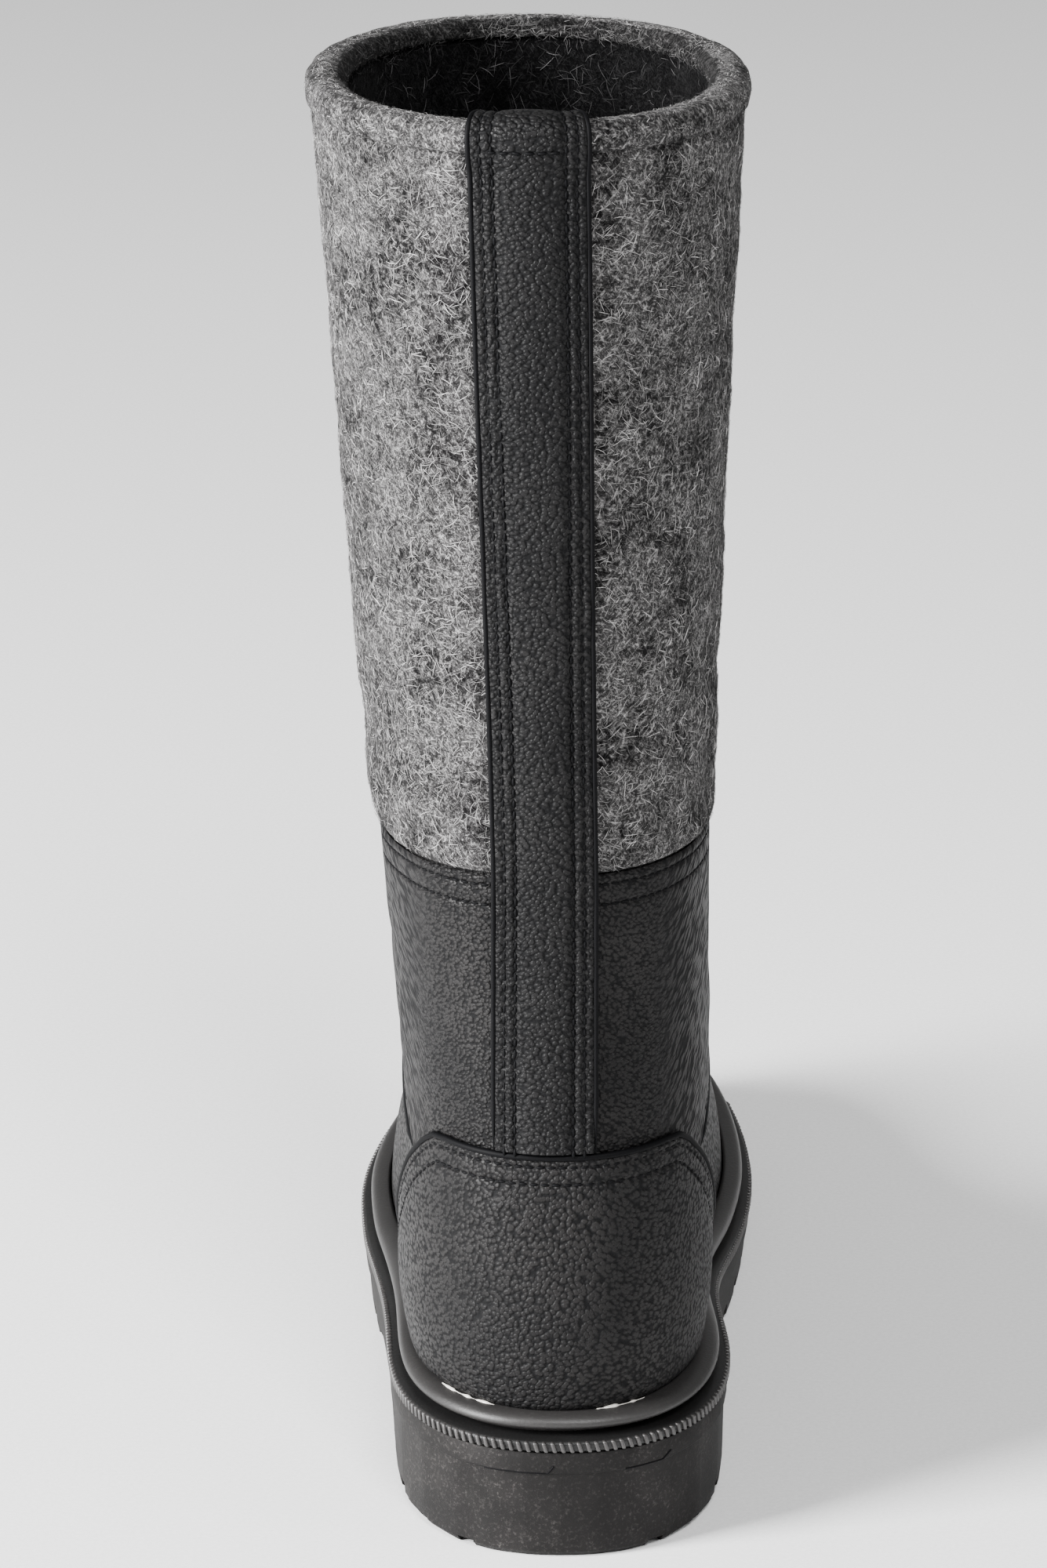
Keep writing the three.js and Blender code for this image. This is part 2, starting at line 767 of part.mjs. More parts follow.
function backstay() {
  const columns = 6;
  const outerSide = (z, offset) => ({ z, inner: offset, outer: offset + backstayThickness });
  const climb = backstayClimb.map((rise) => lerp(counterHeight + clearance, seamHeight, rise));
  const heights = [...climb, ...shaftRings.map((rise) => lerp(seamHeight, shaftTop, rise))];
  const bindingEdge = shaftTop - bindingDepth;
  const path = [
    ...heights.map((z) => outerSide(z, backstayOffset)),
    outerSide(bindingEdge - 2 * backstayThickness, backstayOffset),
    outerSide(bindingEdge - clearance, bindingOuter + clearance),
    outerSide(rimTop - bindingThickness * 1.6, bindingOuter + clearance),
  ];
  const spread = (z, share, offset) => {
    const level = flatLevel(z);
    const taper = lerp(0.88, 1, ease(z, seamHeight, bootHeight));
    const across = (share - 0.5) * backstayWidth * taper;
    const section = columnSection(z);
    const radius = (section.front - section.back) / 2 - ankleSweep;
    return ringPoint(bootField, level, Math.atan2(across, radius), offset);
  };
  const inside = -(bindingInner + clearance);
  const insideLow = rimTop - backstayFoldDepth;
  const outline = [
    ...path.map((row) => ({ z: row.z, offset: row.outer })),
    { z: bootHeight, offset: bindingOuter - bindingThickness },
    { z: bootHeight, offset: -(bindingInner - bindingThickness) },
    { z: rimTop - bindingThickness * 1.6, offset: inside - backstayThickness },
    { z: insideLow, offset: inside - backstayThickness },
    { z: insideLow, offset: inside },
    { z: rimTop - bindingThickness * 1.6, offset: inside },
    { z: rimTop + clearance, offset: -(bindingInner - bindingThickness) },
    { z: rimTop + clearance, offset: bindingOuter - bindingThickness },
    ...path.slice().reverse().map((row) => ({ z: row.z, offset: row.inner })),
  ];
  const vertices = [];
  for (const { z, offset } of outline) {
    for (let column = 0; column <= columns; column += 1) vertices.push(spread(z, column / columns, offset));
  }
  const triangles = [];
  const rowLength = columns + 1;
  const rows = outline.length;
  for (let row = 0; row < rows; row += 1) {
    const above = (row + 1) % rows;
    for (let column = 0; column < columns; column += 1) {
      const a = row * rowLength + column;
      const b = a + 1;
      const c = above * rowLength + column + 1;
      const d = above * rowLength + column;
      triangles.push(a, b, c, a, c, d);
    }
  }
  // The side faces join each outer row to the inner row that lies behind it
  for (let row = 0; row < rows / 2 - 1; row += 1) {
    const mate = rows - 1 - row;
    for (const [column, flip] of [[0, false], [columns, true]]) {
      const a = row * rowLength + column;
      const b = (row + 1) * rowLength + column;
      const c = (mate - 1) * rowLength + column;
      const d = mate * rowLength + column;
      if (flip) triangles.push(a, c, b, a, d, c);
      else triangles.push(a, b, c, a, c, d);
    }
  }
  return geometryFrom(vertices, triangles);
}

// Materials and assembly

function finish(color, roughness) {
  return new THREE.MeshStandardMaterial({ color, roughness, metalness: 0 });
}

const rubber = () => finish(0x1d1c1c, 0.62);
const leather = () => finish(0x17171a, 0.45);
const greyFelt = () => finish(0x6d6c6e, 1);
const darkFelt = () => finish(0x2c2b2c, 1);

const pieces = [
  { name: 'outsole', geometry: outsole(), material: rubber() },
  { name: 'welt', geometry: welt(), material: rubber() },
  { name: 'rand', geometry: rand(), material: rubber() },
  { name: 'insole', geometry: insole(), material: darkFelt() },
  { name: 'upper', geometry: upper(), material: leather() },
  { name: 'shaft', geometry: shaft(), material: greyFelt() },
  { name: 'collar_binding', geometry: collarBinding(), material: greyFelt() },
  { name: 'heel_counter', geometry: heelCounter(), material: leather() },
  { name: 'quarter', geometry: quarter(), material: leather() },
  { name: 'backstay', geometry: backstay(), material: leather() },
];

const boot = new THREE.Group();
for (const { name, geometry, material } of pieces) {
  geometry.computeVertexNormals();
  const mesh = new THREE.Mesh(geometry, material);
  mesh.name = name;
  boot.add(mesh);
}

const box = new THREE.Box3().setFromObject(boot, true);
boot.position.set(-(box.min.x + box.max.x) / 2, -(box.min.y + box.max.y) / 2, -box.min.z);
boot.updateMatrixWorld(true);

const part = new THREE.Group();
part.add(boot);

export default part;
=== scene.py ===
"""A left felt boot: grey felt shaft, black pebbled leather foot and moulded rubber sole.

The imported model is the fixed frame, and every visible piece is modelled around it. Lengths are
in metres, with +X medial, +Y to the toe and +Z up, and the boot stands on Z = 0.
"""

from __future__ import annotations

import logging
import math
from dataclasses import dataclass
from enum import Enum
from typing import Callable, Sequence

import bmesh
import bpy
import numpy as np
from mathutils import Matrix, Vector
from mathutils.bvhtree import BVHTree
from mathutils.kdtree import KDTree

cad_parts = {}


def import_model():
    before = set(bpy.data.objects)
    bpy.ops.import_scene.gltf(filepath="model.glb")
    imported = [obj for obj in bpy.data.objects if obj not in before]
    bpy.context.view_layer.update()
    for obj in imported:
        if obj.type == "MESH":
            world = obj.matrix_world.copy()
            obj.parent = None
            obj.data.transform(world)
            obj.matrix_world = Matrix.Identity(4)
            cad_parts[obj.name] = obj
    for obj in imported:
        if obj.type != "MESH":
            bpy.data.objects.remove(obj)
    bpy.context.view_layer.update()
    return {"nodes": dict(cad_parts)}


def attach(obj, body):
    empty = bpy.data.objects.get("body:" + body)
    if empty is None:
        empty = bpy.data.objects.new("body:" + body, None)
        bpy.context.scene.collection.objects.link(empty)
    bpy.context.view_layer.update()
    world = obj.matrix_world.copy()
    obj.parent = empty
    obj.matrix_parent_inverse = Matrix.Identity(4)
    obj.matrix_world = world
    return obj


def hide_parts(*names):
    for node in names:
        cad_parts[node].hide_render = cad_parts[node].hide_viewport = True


log = logging.getLogger("felt_boot")

MM = 0.001
BODY = "root"

FULL_TURN = 2 * math.pi
TINY = 1e-12

# Sizes that the model's pieces share
SEAM_HEIGHT = 169.0 * MM
FELT_RISE = 1.8 * MM
HEEL_BACK = -152.45 * MM
RIM_HEIGHT = 345 * MM

Triple = tuple[float, float, float]


class Slot(Enum):
    """The record's material slots."""

    RUBBER = "rubber"
    LEATHER = "leather"
    GREY_FELT = "grey_felt"
    DARK_FELT = "dark_felt"


# Shader expressions


class Value:
    """A shader socket that takes part in arithmetic, where each operator adds a Math node."""

    def __init__(self, shader: "Shader", socket: bpy.types.NodeSocket) -> None:
        """Keep the socket and the shader that it belongs to.

        Args:
            shader: the shader whose tree holds the socket.
            socket: the output socket.
        """
        self.shader = shader
        self.socket = socket

    def _math(self, operation: str, *terms: "Value | float") -> "Value":
        """Add a Math node over the terms.

        Args:
            operation: the Math node's operation.
            terms: its inputs, in order.

        Returns:
            The node's result.
        """
        return self.shader.node("ShaderNodeMath", {"operation": operation}, dict(enumerate(terms)))

    def __add__(self, other: "Value | float") -> "Value":
        """Return the sum."""
        return self._math("ADD", self, other)

    __radd__ = __add__

    def __sub__(self, other: "Value | float") -> "Value":
        """Return the difference."""
        return self._math("SUBTRACT", self, other)

    def __rsub__(self, other: "Value | float") -> "Value":
        """Return the reflected difference."""
        return self._math("SUBTRACT", other, self)

    def __mul__(self, other: "Value | float") -> "Value":
        """Return the product."""
        return self._math("MULTIPLY", self, other)

    __rmul__ = __mul__

    def __pow__(self, other: "Value | float") -> "Value":
        """Return the power."""
        return self._math("POWER", self, other)

    def largest(self, other: "Value | float") -> "Value":
        """Return the larger of the two."""
        return self._math("MAXIMUM", self, other)

    def band(self, low: float, high: float) -> "Value":
        """Return a smooth step from 0 at low to 1 at high."""
        settings = {"interpolation_type": "SMOOTHSTEP"}
        return self.shader.node("ShaderNodeMapRange", settings, {0: self, 1: low, 2: high})


class Shader:
    """The node tree of one finish."""

    def __init__(self, name: str) -> None:
        """Make a material with a Principled shader.

        Args:
            name: the material's name.
        """
        self.material = bpy.data.materials.new(name)
        self.material.use_nodes = True
        self.tree = self.material.node_tree
        self.surface = self.tree.nodes["Principled BSDF"]

    def node(
        self,
        kind: str,
        settings: dict[str, object] | None = None,
        inputs: dict[str | int, object] | None = None,
        output: str | int = 0,
    ) -> Value:
        """Add a node, set it up and link it.

        Args:
            kind: the node's type.
            settings: its properties.
            inputs: values or links of its sockets, by name or number.
            output: the socket that is returned.

        Returns:
            The output socket as a value.
        """
        made = self.tree.nodes.new(kind)
        for key, value in (settings or {}).items():
            setattr(made, key, value)
        for key, value in (inputs or {}).items():
            self._fill(made.inputs[key], value)
        return Value(self, made.outputs[output])

    def _fill(self, socket: bpy.types.NodeSocket, value: object) -> None:
        """Link a value to a socket, or set the socket to a plain one."""
        if isinstance(value, Value):
            self.tree.links.new(value.socket, socket)
        else:
            socket.default_value = value

    def object_place(self) -> Value:
        """Return the Object coordinates."""
        return self.node("ShaderNodeTexCoord", output="Object")

    def mapped(self, place: Value, scale: Triple, turn: Triple = (0.0, 0.0, 0.0)) -> Value:
        """Turn and scale coordinates.

        Args:
            place: the coordinates.
            scale: the scale along each axis.
            turn: the turn about each axis, in radians.

        Returns:
            The new coordinates.
        """
        turned = self.node("ShaderNodeMapping", None, {"Vector": place, "Rotation": turn})
        return self.node("ShaderNodeMapping", None, {"Vector": turned, "Scale": scale})

    def noise(self, place: Value, scale: float, detail: float = 2.0, rough: float = 0.5) -> Value:
        """Return a noise from 0 to 1.

        Args:
            place: the coordinates.
            scale: the noise's scale.
            detail: its octaves.
            rough: how strong the fine octaves are.
        """
        inputs = {"Vector": place, "Scale": scale, "Detail": detail, "Roughness": rough}
        return self.node("ShaderNodeTexNoise", None, inputs, "Fac")

    def mix(self, share: Value | float, low: object, high: object) -> Value:
        """Mix two colours.

        Args:
            share: how much of the second.
            low: the first colour or link.
            high: the second colour or link.

        Returns:
            The mixed colour.
        """
        pair = [(*c, 1.0) if isinstance(c, tuple) else c for c in (low, high)]
        inputs = {0: share, 6: pair[0], 7: pair[1]}
        return self.node("ShaderNodeMix", {"data_type": "RGBA"}, inputs, 2)

    def bump(self, height: Value, distance: float, strength: float = 1.0) -> Value:
        """Return a normal bent by a height.

        Args:
            height: the height, as a share of the distance.
            distance: the full height, in metres.
            strength: how much of the effect is used.
        """
        inputs = {"Height": height, "Distance": distance, "Strength": strength}
        return self.node("ShaderNodeBump", None, inputs)

    def feed(self, **links: object) -> bpy.types.Material:
        """Link or set the Principled shader's sockets.

        Args:
            links: values or links, by the socket's name with underscores for spaces.

        Returns:
            The material.
        """
        for key, value in links.items():
            self._fill(self.surface.inputs[key.replace("_", " ")], value)
        return self.material


# Finishes


@dataclass(frozen=True)
class FeltFinish:
    """Marled wool felt, with blotches and streaks of fibre in many directions."""

    name: str
    dark: Triple
    middle: Triple
    light: Triple

    def build(self) -> bpy.types.Material:
        """Return the felt's material."""
        shader = Shader(self.name)
        place = shader.object_place()
        streaks: Value | None = None
        for turn in ((0.0, 0.6, 0.3), (0.4, -0.7, 1.2), (1.2, 0.3, 2.2), (-0.8, 1.3, 0.4)):
            stretched = shader.mapped(place, (1.0, 1.0, 0.16), turn)
            streak = shader.noise(stretched, 1900.0, 3.0, 0.6).band(0.54, 0.68)
            streaks = streak if streaks is None else streaks.largest(streak)
        blotch = shader.noise(place, 62.0, 4.0, 0.6).band(0.36, 0.66)
        curl = shader.noise(place, 620.0, 3.0, 0.65).band(0.4, 0.64)
        base = shader.mix(blotch * 0.35 + curl * 0.65, self.dark, self.middle)
        colour = shader.mix(streaks * (blotch * 0.4 + curl * 0.5 + 0.04), base, self.light)
        height = streaks * 0.6 + curl * 0.4
        return shader.feed(
            Base_Color=colour,
            Roughness=0.95,
            Specular_IOR_Level=0.02,
            Sheen_Weight=0.02,
            Sheen_Roughness=0.5,
            Normal=shader.bump(height, 0.5 * MM, 0.8),
        )


@dataclass(frozen=True)
class FibreFinish:
    """Loose wool, whose shade is kept on each fibre."""

    name: str
    dark: Triple
    light: Triple

    def build(self) -> bpy.types.Material:
        """Return the fibres' material."""
        shader = Shader(self.name)
        shade = shader.node("ShaderNodeAttribute", {"attribute_name": "shade"}, None, "Fac")
        return shader.feed(
            Base_Color=shader.mix(shade, self.dark, self.light),
            Roughness=0.85,
            Specular_IOR_Level=0.05,
        )


@dataclass(frozen=True)
class LeatherFinish:
    """Pebbled leather, whose grain is wider than it is tall and is drawn out on the ankle's sides, with
    painted shade in the valleys between pebbles and a painted highlight on their tops.
    """

    name: str
    # The valleys between pebbles take the first colour, a near-black that is painted shade; the tops take
    # the second, lighter colour, partly wear and partly painted highlight.
    colour: Triple
    worn_and_lit_tops: Triple
    grain: float
    depth: float
    stretch: float
    drawn: float = 0.0
    sway: float = 1.1 * MM
    side_from: float = 24 * MM
    side_full: float = 33 * MM
    side_turn: float = -0.72
    gloss: float = 0.108

    def build(self) -> bpy.types.Material:
        """Return the leather's material."""
        shader = Shader(self.name)
        place = shader.object_place()
        waves = {"Vector": place, "Scale": 260.0, "Detail": 2.0}
        sway = shader.node("ShaderNodeTexNoise", None, waves, "Color")
        shift = shader.node("ShaderNodeVectorMath", {"operation": "SCALE"}, {0: sway, "Scale": self.sway})
        swayed = shader.node("ShaderNodeVectorMath", {"operation": "ADD"}, {0: place, 1: shift})
        pebble = self._pebbles(shader, shader.mapped(swayed, (1.0, 1.0, self.stretch)), self.grain)
        if self.drawn > 0:
            side = shader.node("ShaderNodeSeparateXYZ", None, {0: place}, 0)
            slanted = shader.mapped(swayed, (0.6, self.drawn, 1.0), (self.side_turn, 0.0, 0.0))
            streak = self._pebbles(shader, slanted, self.grain * 0.95) ** 1.5
            for way in (-1, 1):
                share = (side * way).band(self.side_from, self.side_full)
                pebble = pebble * (1.0 - share) + streak * share
        fine = shader.noise(place, 2600.0, 2.0, 0.6)
        patch = shader.noise(place, 38.0, 3.0, 0.55)
        height = pebble * 0.88 + fine * 0.12
        # Painted shade and highlight: this mask darkens the valleys and lightens the pebble tops, varied by
        # a random patch tone.
        pebble_shade_and_patch = pebble * (patch.band(0.3, 0.75) * 0.55 + 0.45)
        colour = shader.mix(pebble_shade_and_patch, self.colour, self.worn_and_lit_tops)
        return shader.feed(
            Base_Color=colour,
            Roughness=0.68 - pebble * 0.28 + patch * 0.08,
            Specular_IOR_Level=self.gloss,
            Normal=shader.bump(height, self.depth, 1.0),
        )

    @staticmethod
    def _pebbles(shader: Shader, place: Value, grain: float) -> Value:
        """Return rounded pebbles with narrow valleys between them.

        Args:
            shader: the shader.
            place: the coordinates.
            grain: the pebbles' size.
        """
        inputs = {"Vector": place, "Scale": 1.0 / grain, "Smoothness": 0.2}
        cell = shader.node("ShaderNodeTexVoronoi", {"feature": "SMOOTH_F1"}, inputs, "Distance")
        return 1.0 - cell.band(0.32, 0.86)


@dataclass(frozen=True)
class RubberFinish:
    """Matte moulded rubber with a fine speckle and a little dust."""

    name: str
    colour: Triple
    dusty: Triple
    roughness: float
    gloss: float

    def build(self) -> bpy.types.Material:
        """Return the rubber's material."""
        shader = Shader(self.name)
        place = shader.object_place()
        speck = shader.noise(place, 1100.0, 3.0, 0.75)
        cloud = shader.noise(place, 55.0, 3.0, 0.6)
        dust = speck.band(0.5, 0.74) * (cloud.band(0.35, 0.7) * 0.5 + 0.2) + cloud.band(0.35, 0.8) * 0.14
        colour = shader.mix(dust, self.colour, self.dusty)
        return shader.feed(
            Base_Color=colour,
            Roughness=self.roughness + cloud * 0.12,
            Specular_IOR_Level=self.gloss,
            Normal=shader.bump(speck, 0.12 * MM, 0.7),
        )


@dataclass(frozen=True)
class PlainFinish:
    """A smooth finish with a little unevenness, for stitching, black cords of painted shadow along edges,
    pale beads of painted glint and the floor.
    """

    name: str
    colour: Triple
    roughness: float
    gloss: float = 0.2

    def build(self) -> bpy.types.Material:
        """Return the material."""
        shader = Shader(self.name)
        uneven = shader.noise(shader.object_place(), 900.0, 2.0, 0.5)
        darker = tuple(0.8 * c for c in self.colour)
        return shader.feed(
            Base_Color=shader.mix(uneven, darker, self.colour),
            Roughness=self.roughness,
            Specular_IOR_Level=self.gloss,
        )


@dataclass
class Finishes:
    """Every finish of the boot, built once."""

    felt: bpy.types.Material
    # Darker copy of the felt for the rim's inside: painted shade.
    rim_shade_felt: bpy.types.Material
    # Dark lining felt with painted shade.
    lining_and_shade: bpy.types.Material
    fibre: bpy.types.Material
    # Darker fibres inside: painted shade.
    lining_shade_fibre: bpy.types.Material
    leather: bpy.types.Material
    fine_leather: bpy.types.Material
    strip_leather: bpy.types.Material
    rubber: bpy.types.Material
    welt_rubber: bpy.types.Material
    rand_rubber: bpy.types.Material
    # Lighter than the welt: painted highlight on the teeth.
    lit_tooth_rubber: bpy.types.Material
    # Pale beads: a painted glint.
    painted_glint: bpy.types.Material
    # Black for the stitching thread and for cords of painted shadow.
    thread_and_shadow: bpy.types.Material


def build_finishes() -> Finishes:
    """Return the boot's finishes."""
    # The first leather colour is the valleys' painted shade; the second colours the pebble tops, partly
    # wear and partly painted highlight.
    black, worn_and_lit_tops, strip = (0.0012, 0.0012, 0.0015), (0.0108, 0.0101, 0.01), (0.0078, 0.0075, 0.0076)
    kinds = {
        "felt": FeltFinish("grey_felt", (0.002, 0.0019, 0.002), (0.04, 0.0388, 0.039), (0.3, 0.293, 0.291)),
        # A darker copy of the grey felt for the faces inside the rim's fold: painted shade.
        "rim_shade_felt": FeltFinish(
            "rim_shade_felt", (0.001, 0.001, 0.001), (0.01, 0.0097, 0.0098), (0.075, 0.073, 0.0725)
        ),
        # The lining felt is near-black: a darker felt with painted shade over it, for every face inside the
        # boot.
        "lining_and_shade": FeltFinish(
            "dark_felt", (0.0005, 0.0005, 0.0006), (0.002, 0.002, 0.0021), (0.012, 0.0118, 0.0122)
        ),
        "fibre": FibreFinish("wool_fibre", (0.004, 0.0039, 0.004), (0.5, 0.488, 0.484)),
        # Darker fibres for the inside: painted shade.
        "lining_shade_fibre": FibreFinish("lining_fibre", (0.001, 0.001, 0.0011), (0.08, 0.078, 0.079)),
        "leather": LeatherFinish("pebbled_leather", black, worn_and_lit_tops, 1.2 * MM, 0.42 * MM, 1.1),
        "fine_leather": LeatherFinish("fine_leather", black, worn_and_lit_tops, 1.05 * MM, 0.42 * MM, 1.25, 0.22),
        "strip_leather": LeatherFinish("strip_leather", black, strip, 1.25 * MM, 0.5 * MM, 1.4),
        "rubber": RubberFinish("sole_rubber", (0.005, 0.0046, 0.0045), (0.055, 0.0505, 0.0485), 0.6, 0.12),
        "welt_rubber": RubberFinish(
            "welt_rubber", (0.0042, 0.0041, 0.0041), (0.014, 0.0132, 0.013), 0.42, 0.3
        ),
        "rand_rubber": RubberFinish(
            "rand_rubber", (0.013, 0.0123, 0.0121), (0.03, 0.0282, 0.0272), 0.4, 0.36
        ),
        # The teeth's rubber is lighter than the welt's, though both are one moulded rubber: painted
        # highlight on the teeth.
        "lit_tooth_rubber": RubberFinish(
            "lit_tooth_rubber", (0.02, 0.0186, 0.0182), (0.075, 0.07, 0.068), 0.36, 0.5
        ),
        # Pale glossy beads where the heel panel meets the rand: a painted glint.
        "painted_glint": PlainFinish("painted_glint_bead", (0.62, 0.59, 0.55), 0.16, 0.6),
        # This black serves the stitching thread and the cords of painted shadow along the panels' edges and
        # the parting line.
        "thread_and_shadow": PlainFinish("black_thread_and_painted_shadow", (0.0016, 0.0016, 0.002), 0.6, 0.06),
    }
    return Finishes(**{name: kind.build() for name, kind in kinds.items()})


# Modelling helpers


def select_only(piece: bpy.types.Object) -> None:
    """Deselect everything and make one object active and selected."""
    bpy.ops.object.select_all(action="DESELECT")
    piece.select_set(True)
    bpy.context.view_layer.objects.active = piece


def apply_modifiers(piece: bpy.types.Object) -> None:
    """Apply a piece's modifiers in order."""
    select_only(piece)
    for modifier in list(piece.modifiers):
        bpy.ops.object.modifier_apply(modifier=modifier.name)


def edit_all(piece: bpy.types.Object, *steps: tuple[Callable, dict[str, object]]) -> None:
    """Run operators on a piece's whole mesh in edit mode.

    Args:
        piece: the piece.
        steps: the operators, each with its settings.
    """
    select_only(piece)
    bpy.ops.object.mode_set(mode="EDIT")
    bpy.ops.mesh.select_all(action="SELECT")
    for operator, settings in steps:
        operator(**settings)
    bpy.ops.object.mode_set(mode="OBJECT")


def read_places(piece: bpy.types.Object) -> np.ndarray:
    """Return a piece's vertices as rows of x, y and z."""
    places = np.empty(len(piece.data.vertices) * 3)
    piece.data.vertices.foreach_get("co", places)
    return places.reshape(-1, 3)


def write_places(piece: bpy.types.Object, places: np.ndarray) -> None:
    """Move a piece's vertices to rows of x, y and z."""
    piece.data.vertices.foreach_set("co", np.ascontiguousarray(places, dtype=np.float32).ravel())


def unit(ways: np.ndarray) -> np.ndarray:
    """Return directions with a length of one."""
    return ways / (np.linalg.norm(ways, axis=-1, keepdims=True) + TINY)


def node_copy(node: bpy.types.Object, name: str) -> bpy.types.Object:
    """Copy a CAD node, with its loose triangles merged and paired into quads.

    Args:
        node: the CAD node.
        name: the copy's name.

    Returns:
        The copy, at the origin and free of its parent.
    """
    piece = bpy.data.objects.new(name, node.data.copy())
    piece.data.materials.clear()
    bpy.context.scene.collection.objects.link(piece)
    flat = math.radians(60)
    edit_all(
        piece,
        (bpy.ops.mesh.remove_doubles, {"threshold": 0.01 * MM}),
        (bpy.ops.mesh.tris_convert_to_quads, {"face_threshold": flat, "shape_threshold": flat}),
    )
    return piece


def crease_sharp_edges(piece: bpy.types.Object, angle: float) -> None:
    """Crease each edge whose faces meet at more than an angle, so that it stays crisp.

    Args:
        piece: the piece.
        angle: the angle, in radians.
    """
    mesh = bmesh.new()
    mesh.from_mesh(piece.data)
    layer = mesh.edges.layers.float.get("crease_edge") or mesh.edges.layers.float.new("crease_edge")
    for edge in mesh.edges:
        if len(edge.link_faces) != 2 or edge.calc_face_angle(0.0) > angle:
            edge[layer] = 0.8
    mesh.to_mesh(piece.data)
    mesh.free()


def subdivide_smooth(piece: bpy.types.Object, levels: int) -> None:
    """Subdivide a piece smoothly and shade it smooth.

    Args:
        piece: the piece.
        levels: how often each face is split.
    """
    modifier = piece.modifiers.new("smooth", "SUBSURF")
    modifier.levels = levels
    modifier.render_levels = levels
    apply_modifiers(piece)
    select_only(piece)
    bpy.ops.object.shade_smooth()


def grid_piece(name: str, points: np.ndarray, around: bool = False) -> bpy.types.Object:
    """Lay a grid primitive over rows and columns of points.

    Args:
        name: the piece's name.
        points: places, as rows by columns by three.
        around: whether the last column meets the first.

    Returns:
        The piece, shaded smooth, with faces on the side that the rows and columns turn to.
    """
    if around:
        points = np.concatenate([points, points[:, :1]], axis=1)
    rows, columns = points.shape[:2]
    bpy.ops.object.select_all(action="DESELECT")
    bpy.ops.mesh.primitive_grid_add(x_subdivisions=columns - 1, y_subdivisions=rows - 1, size=2.0)
    piece = bpy.context.object
    piece.name = name
    write_places(piece, points)
    if around:
        edit_all(piece, (bpy.ops.mesh.remove_doubles, {"threshold": 0.005 * MM}))
    bpy.ops.object.shade_smooth()
    return piece


def tube(name: str, path: np.ndarray, out: np.ndarray, radius: np.ndarray) -> bpy.types.Object:
    """Sweep a round section along a path.

    Args:
        name: the piece's name.
        path: the section's centres.
        out: the outward direction at each.
        radius: the radius at each.

    Returns:
        The piece.
    """
    turn = np.linspace(0, FULL_TURN, 9)[:-1, None]
    side = unit(np.cross(out, np.gradient(path, axis=0)))
    ring = out[:, None] * np.cos(turn) + side[:, None] * np.sin(turn)
    return grid_piece(name, path[:, None] + ring * radius[:, None, None], around=True)


def tapered(count: int, ends: int, radius: float) -> np.ndarray:
    """Return a cord's radius at each of its points, thinner at both ends.

    Args:
        count: how many points it has.
        ends: how many points each thinner end takes.
        radius: the full radius.
    """
    from_end = np.minimum(np.arange(count), np.arange(count)[::-1])
    return radius * np.clip(from_end / ends, 0.3, 1)


def thicken(piece: bpy.types.Object, thickness: float) -> None:
    """Give a sheet a wall on its inner side.

    Args:
        piece: the sheet.
        thickness: the wall, in metres.
    """
    wall = piece.modifiers.new("wall", "SOLIDIFY")
    wall.thickness = thickness
    wall.offset = -1.0
    wall.use_quality_normals = True
    apply_modifiers(piece)
    select_only(piece)
    bpy.ops.object.shade_smooth_by_angle(angle=math.radians(50))


def joined_copies(name: str, template: bpy.types.Object, places: np.ndarray) -> bpy.types.Object:
    """Join one copy of a template at each place into one piece, and drop the template.

    Args:
        name: the piece's name.
        template: the small piece that repeats.
        places: a 3 by 4 matrix for each copy.

    Returns:
        The joined piece.
    """
    mesh = template.data
    count = len(mesh.vertices)
    base = np.hstack([read_places(template), np.ones((count, 1))])
    points = np.einsum("nij,vj->nvi", places, base).reshape(-1, 3)
    loops = np.empty(len(mesh.loops), dtype=np.int64)
    mesh.loops.foreach_get("vertex_index", loops)
    sizes = np.empty(len(mesh.polygons), dtype=np.int64)
    mesh.polygons.foreach_get("loop_total", sizes)
    corners = loops[None] + np.arange(len(places))[:, None] * count
    piece = mesh_from_arrays(name, points, corners.ravel(), np.tile(sizes, len(places)))
    bpy.data.objects.remove(template)
    return piece


def mesh_from_arrays(
    name: str, points: np.ndarray, corners: np.ndarray, sizes: np.ndarray
) -> bpy.types.Object:
    """Make a piece from arrays of points and face corners.

    Args:
        name: the piece's name.
        points: the vertices.
        corners: the faces' vertex numbers, one face after another.
        sizes: how many corners each face has.

    Returns:
        The piece, shaded smooth.
    """
    mesh = bpy.data.meshes.new(name)
    mesh.vertices.add(len(points))
    mesh.vertices.foreach_set("co", np.ascontiguousarray(points, dtype=np.float32).ravel())
    mesh.loops.add(len(corners))
    mesh.loops.foreach_set("vertex_index", corners.astype(np.int32))
    mesh.polygons.add(len(sizes))
    starts = np.concatenate([[0], np.cumsum(sizes)[:-1]])
    mesh.polygons.foreach_set("loop_start", starts.astype(np.int32))
    mesh.update(calc_edges=True)
    piece = bpy.data.objects.new(name, mesh)
    bpy.context.scene.collection.objects.link(piece)
    select_only(piece)
    bpy.ops.object.shade_smooth()
    return piece


def hand_in(
    piece: bpy.types.Object, slot: Slot, materials: Sequence[bpy.types.Material], *nodes: str
) -> bpy.types.Object:
    """Dress a piece, fix it to the boot and report it.

    Args:
        piece: the piece.
        slot: the record's material slot; not used.
        materials: its materials, in slot order.
        nodes: the CAD nodes that it stands for.

    Returns:
        The piece.
    """
    piece.data.materials.clear()
    for material in materials:
        piece.data.materials.append(material)
    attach(piece, BODY)
    if nodes:
        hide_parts(*nodes)
    triangles = sum(len(face.vertices) - 2 for face in piece.data.polygons)
    log.info("%s: %d triangles", piece.name, triangles)
    return piece


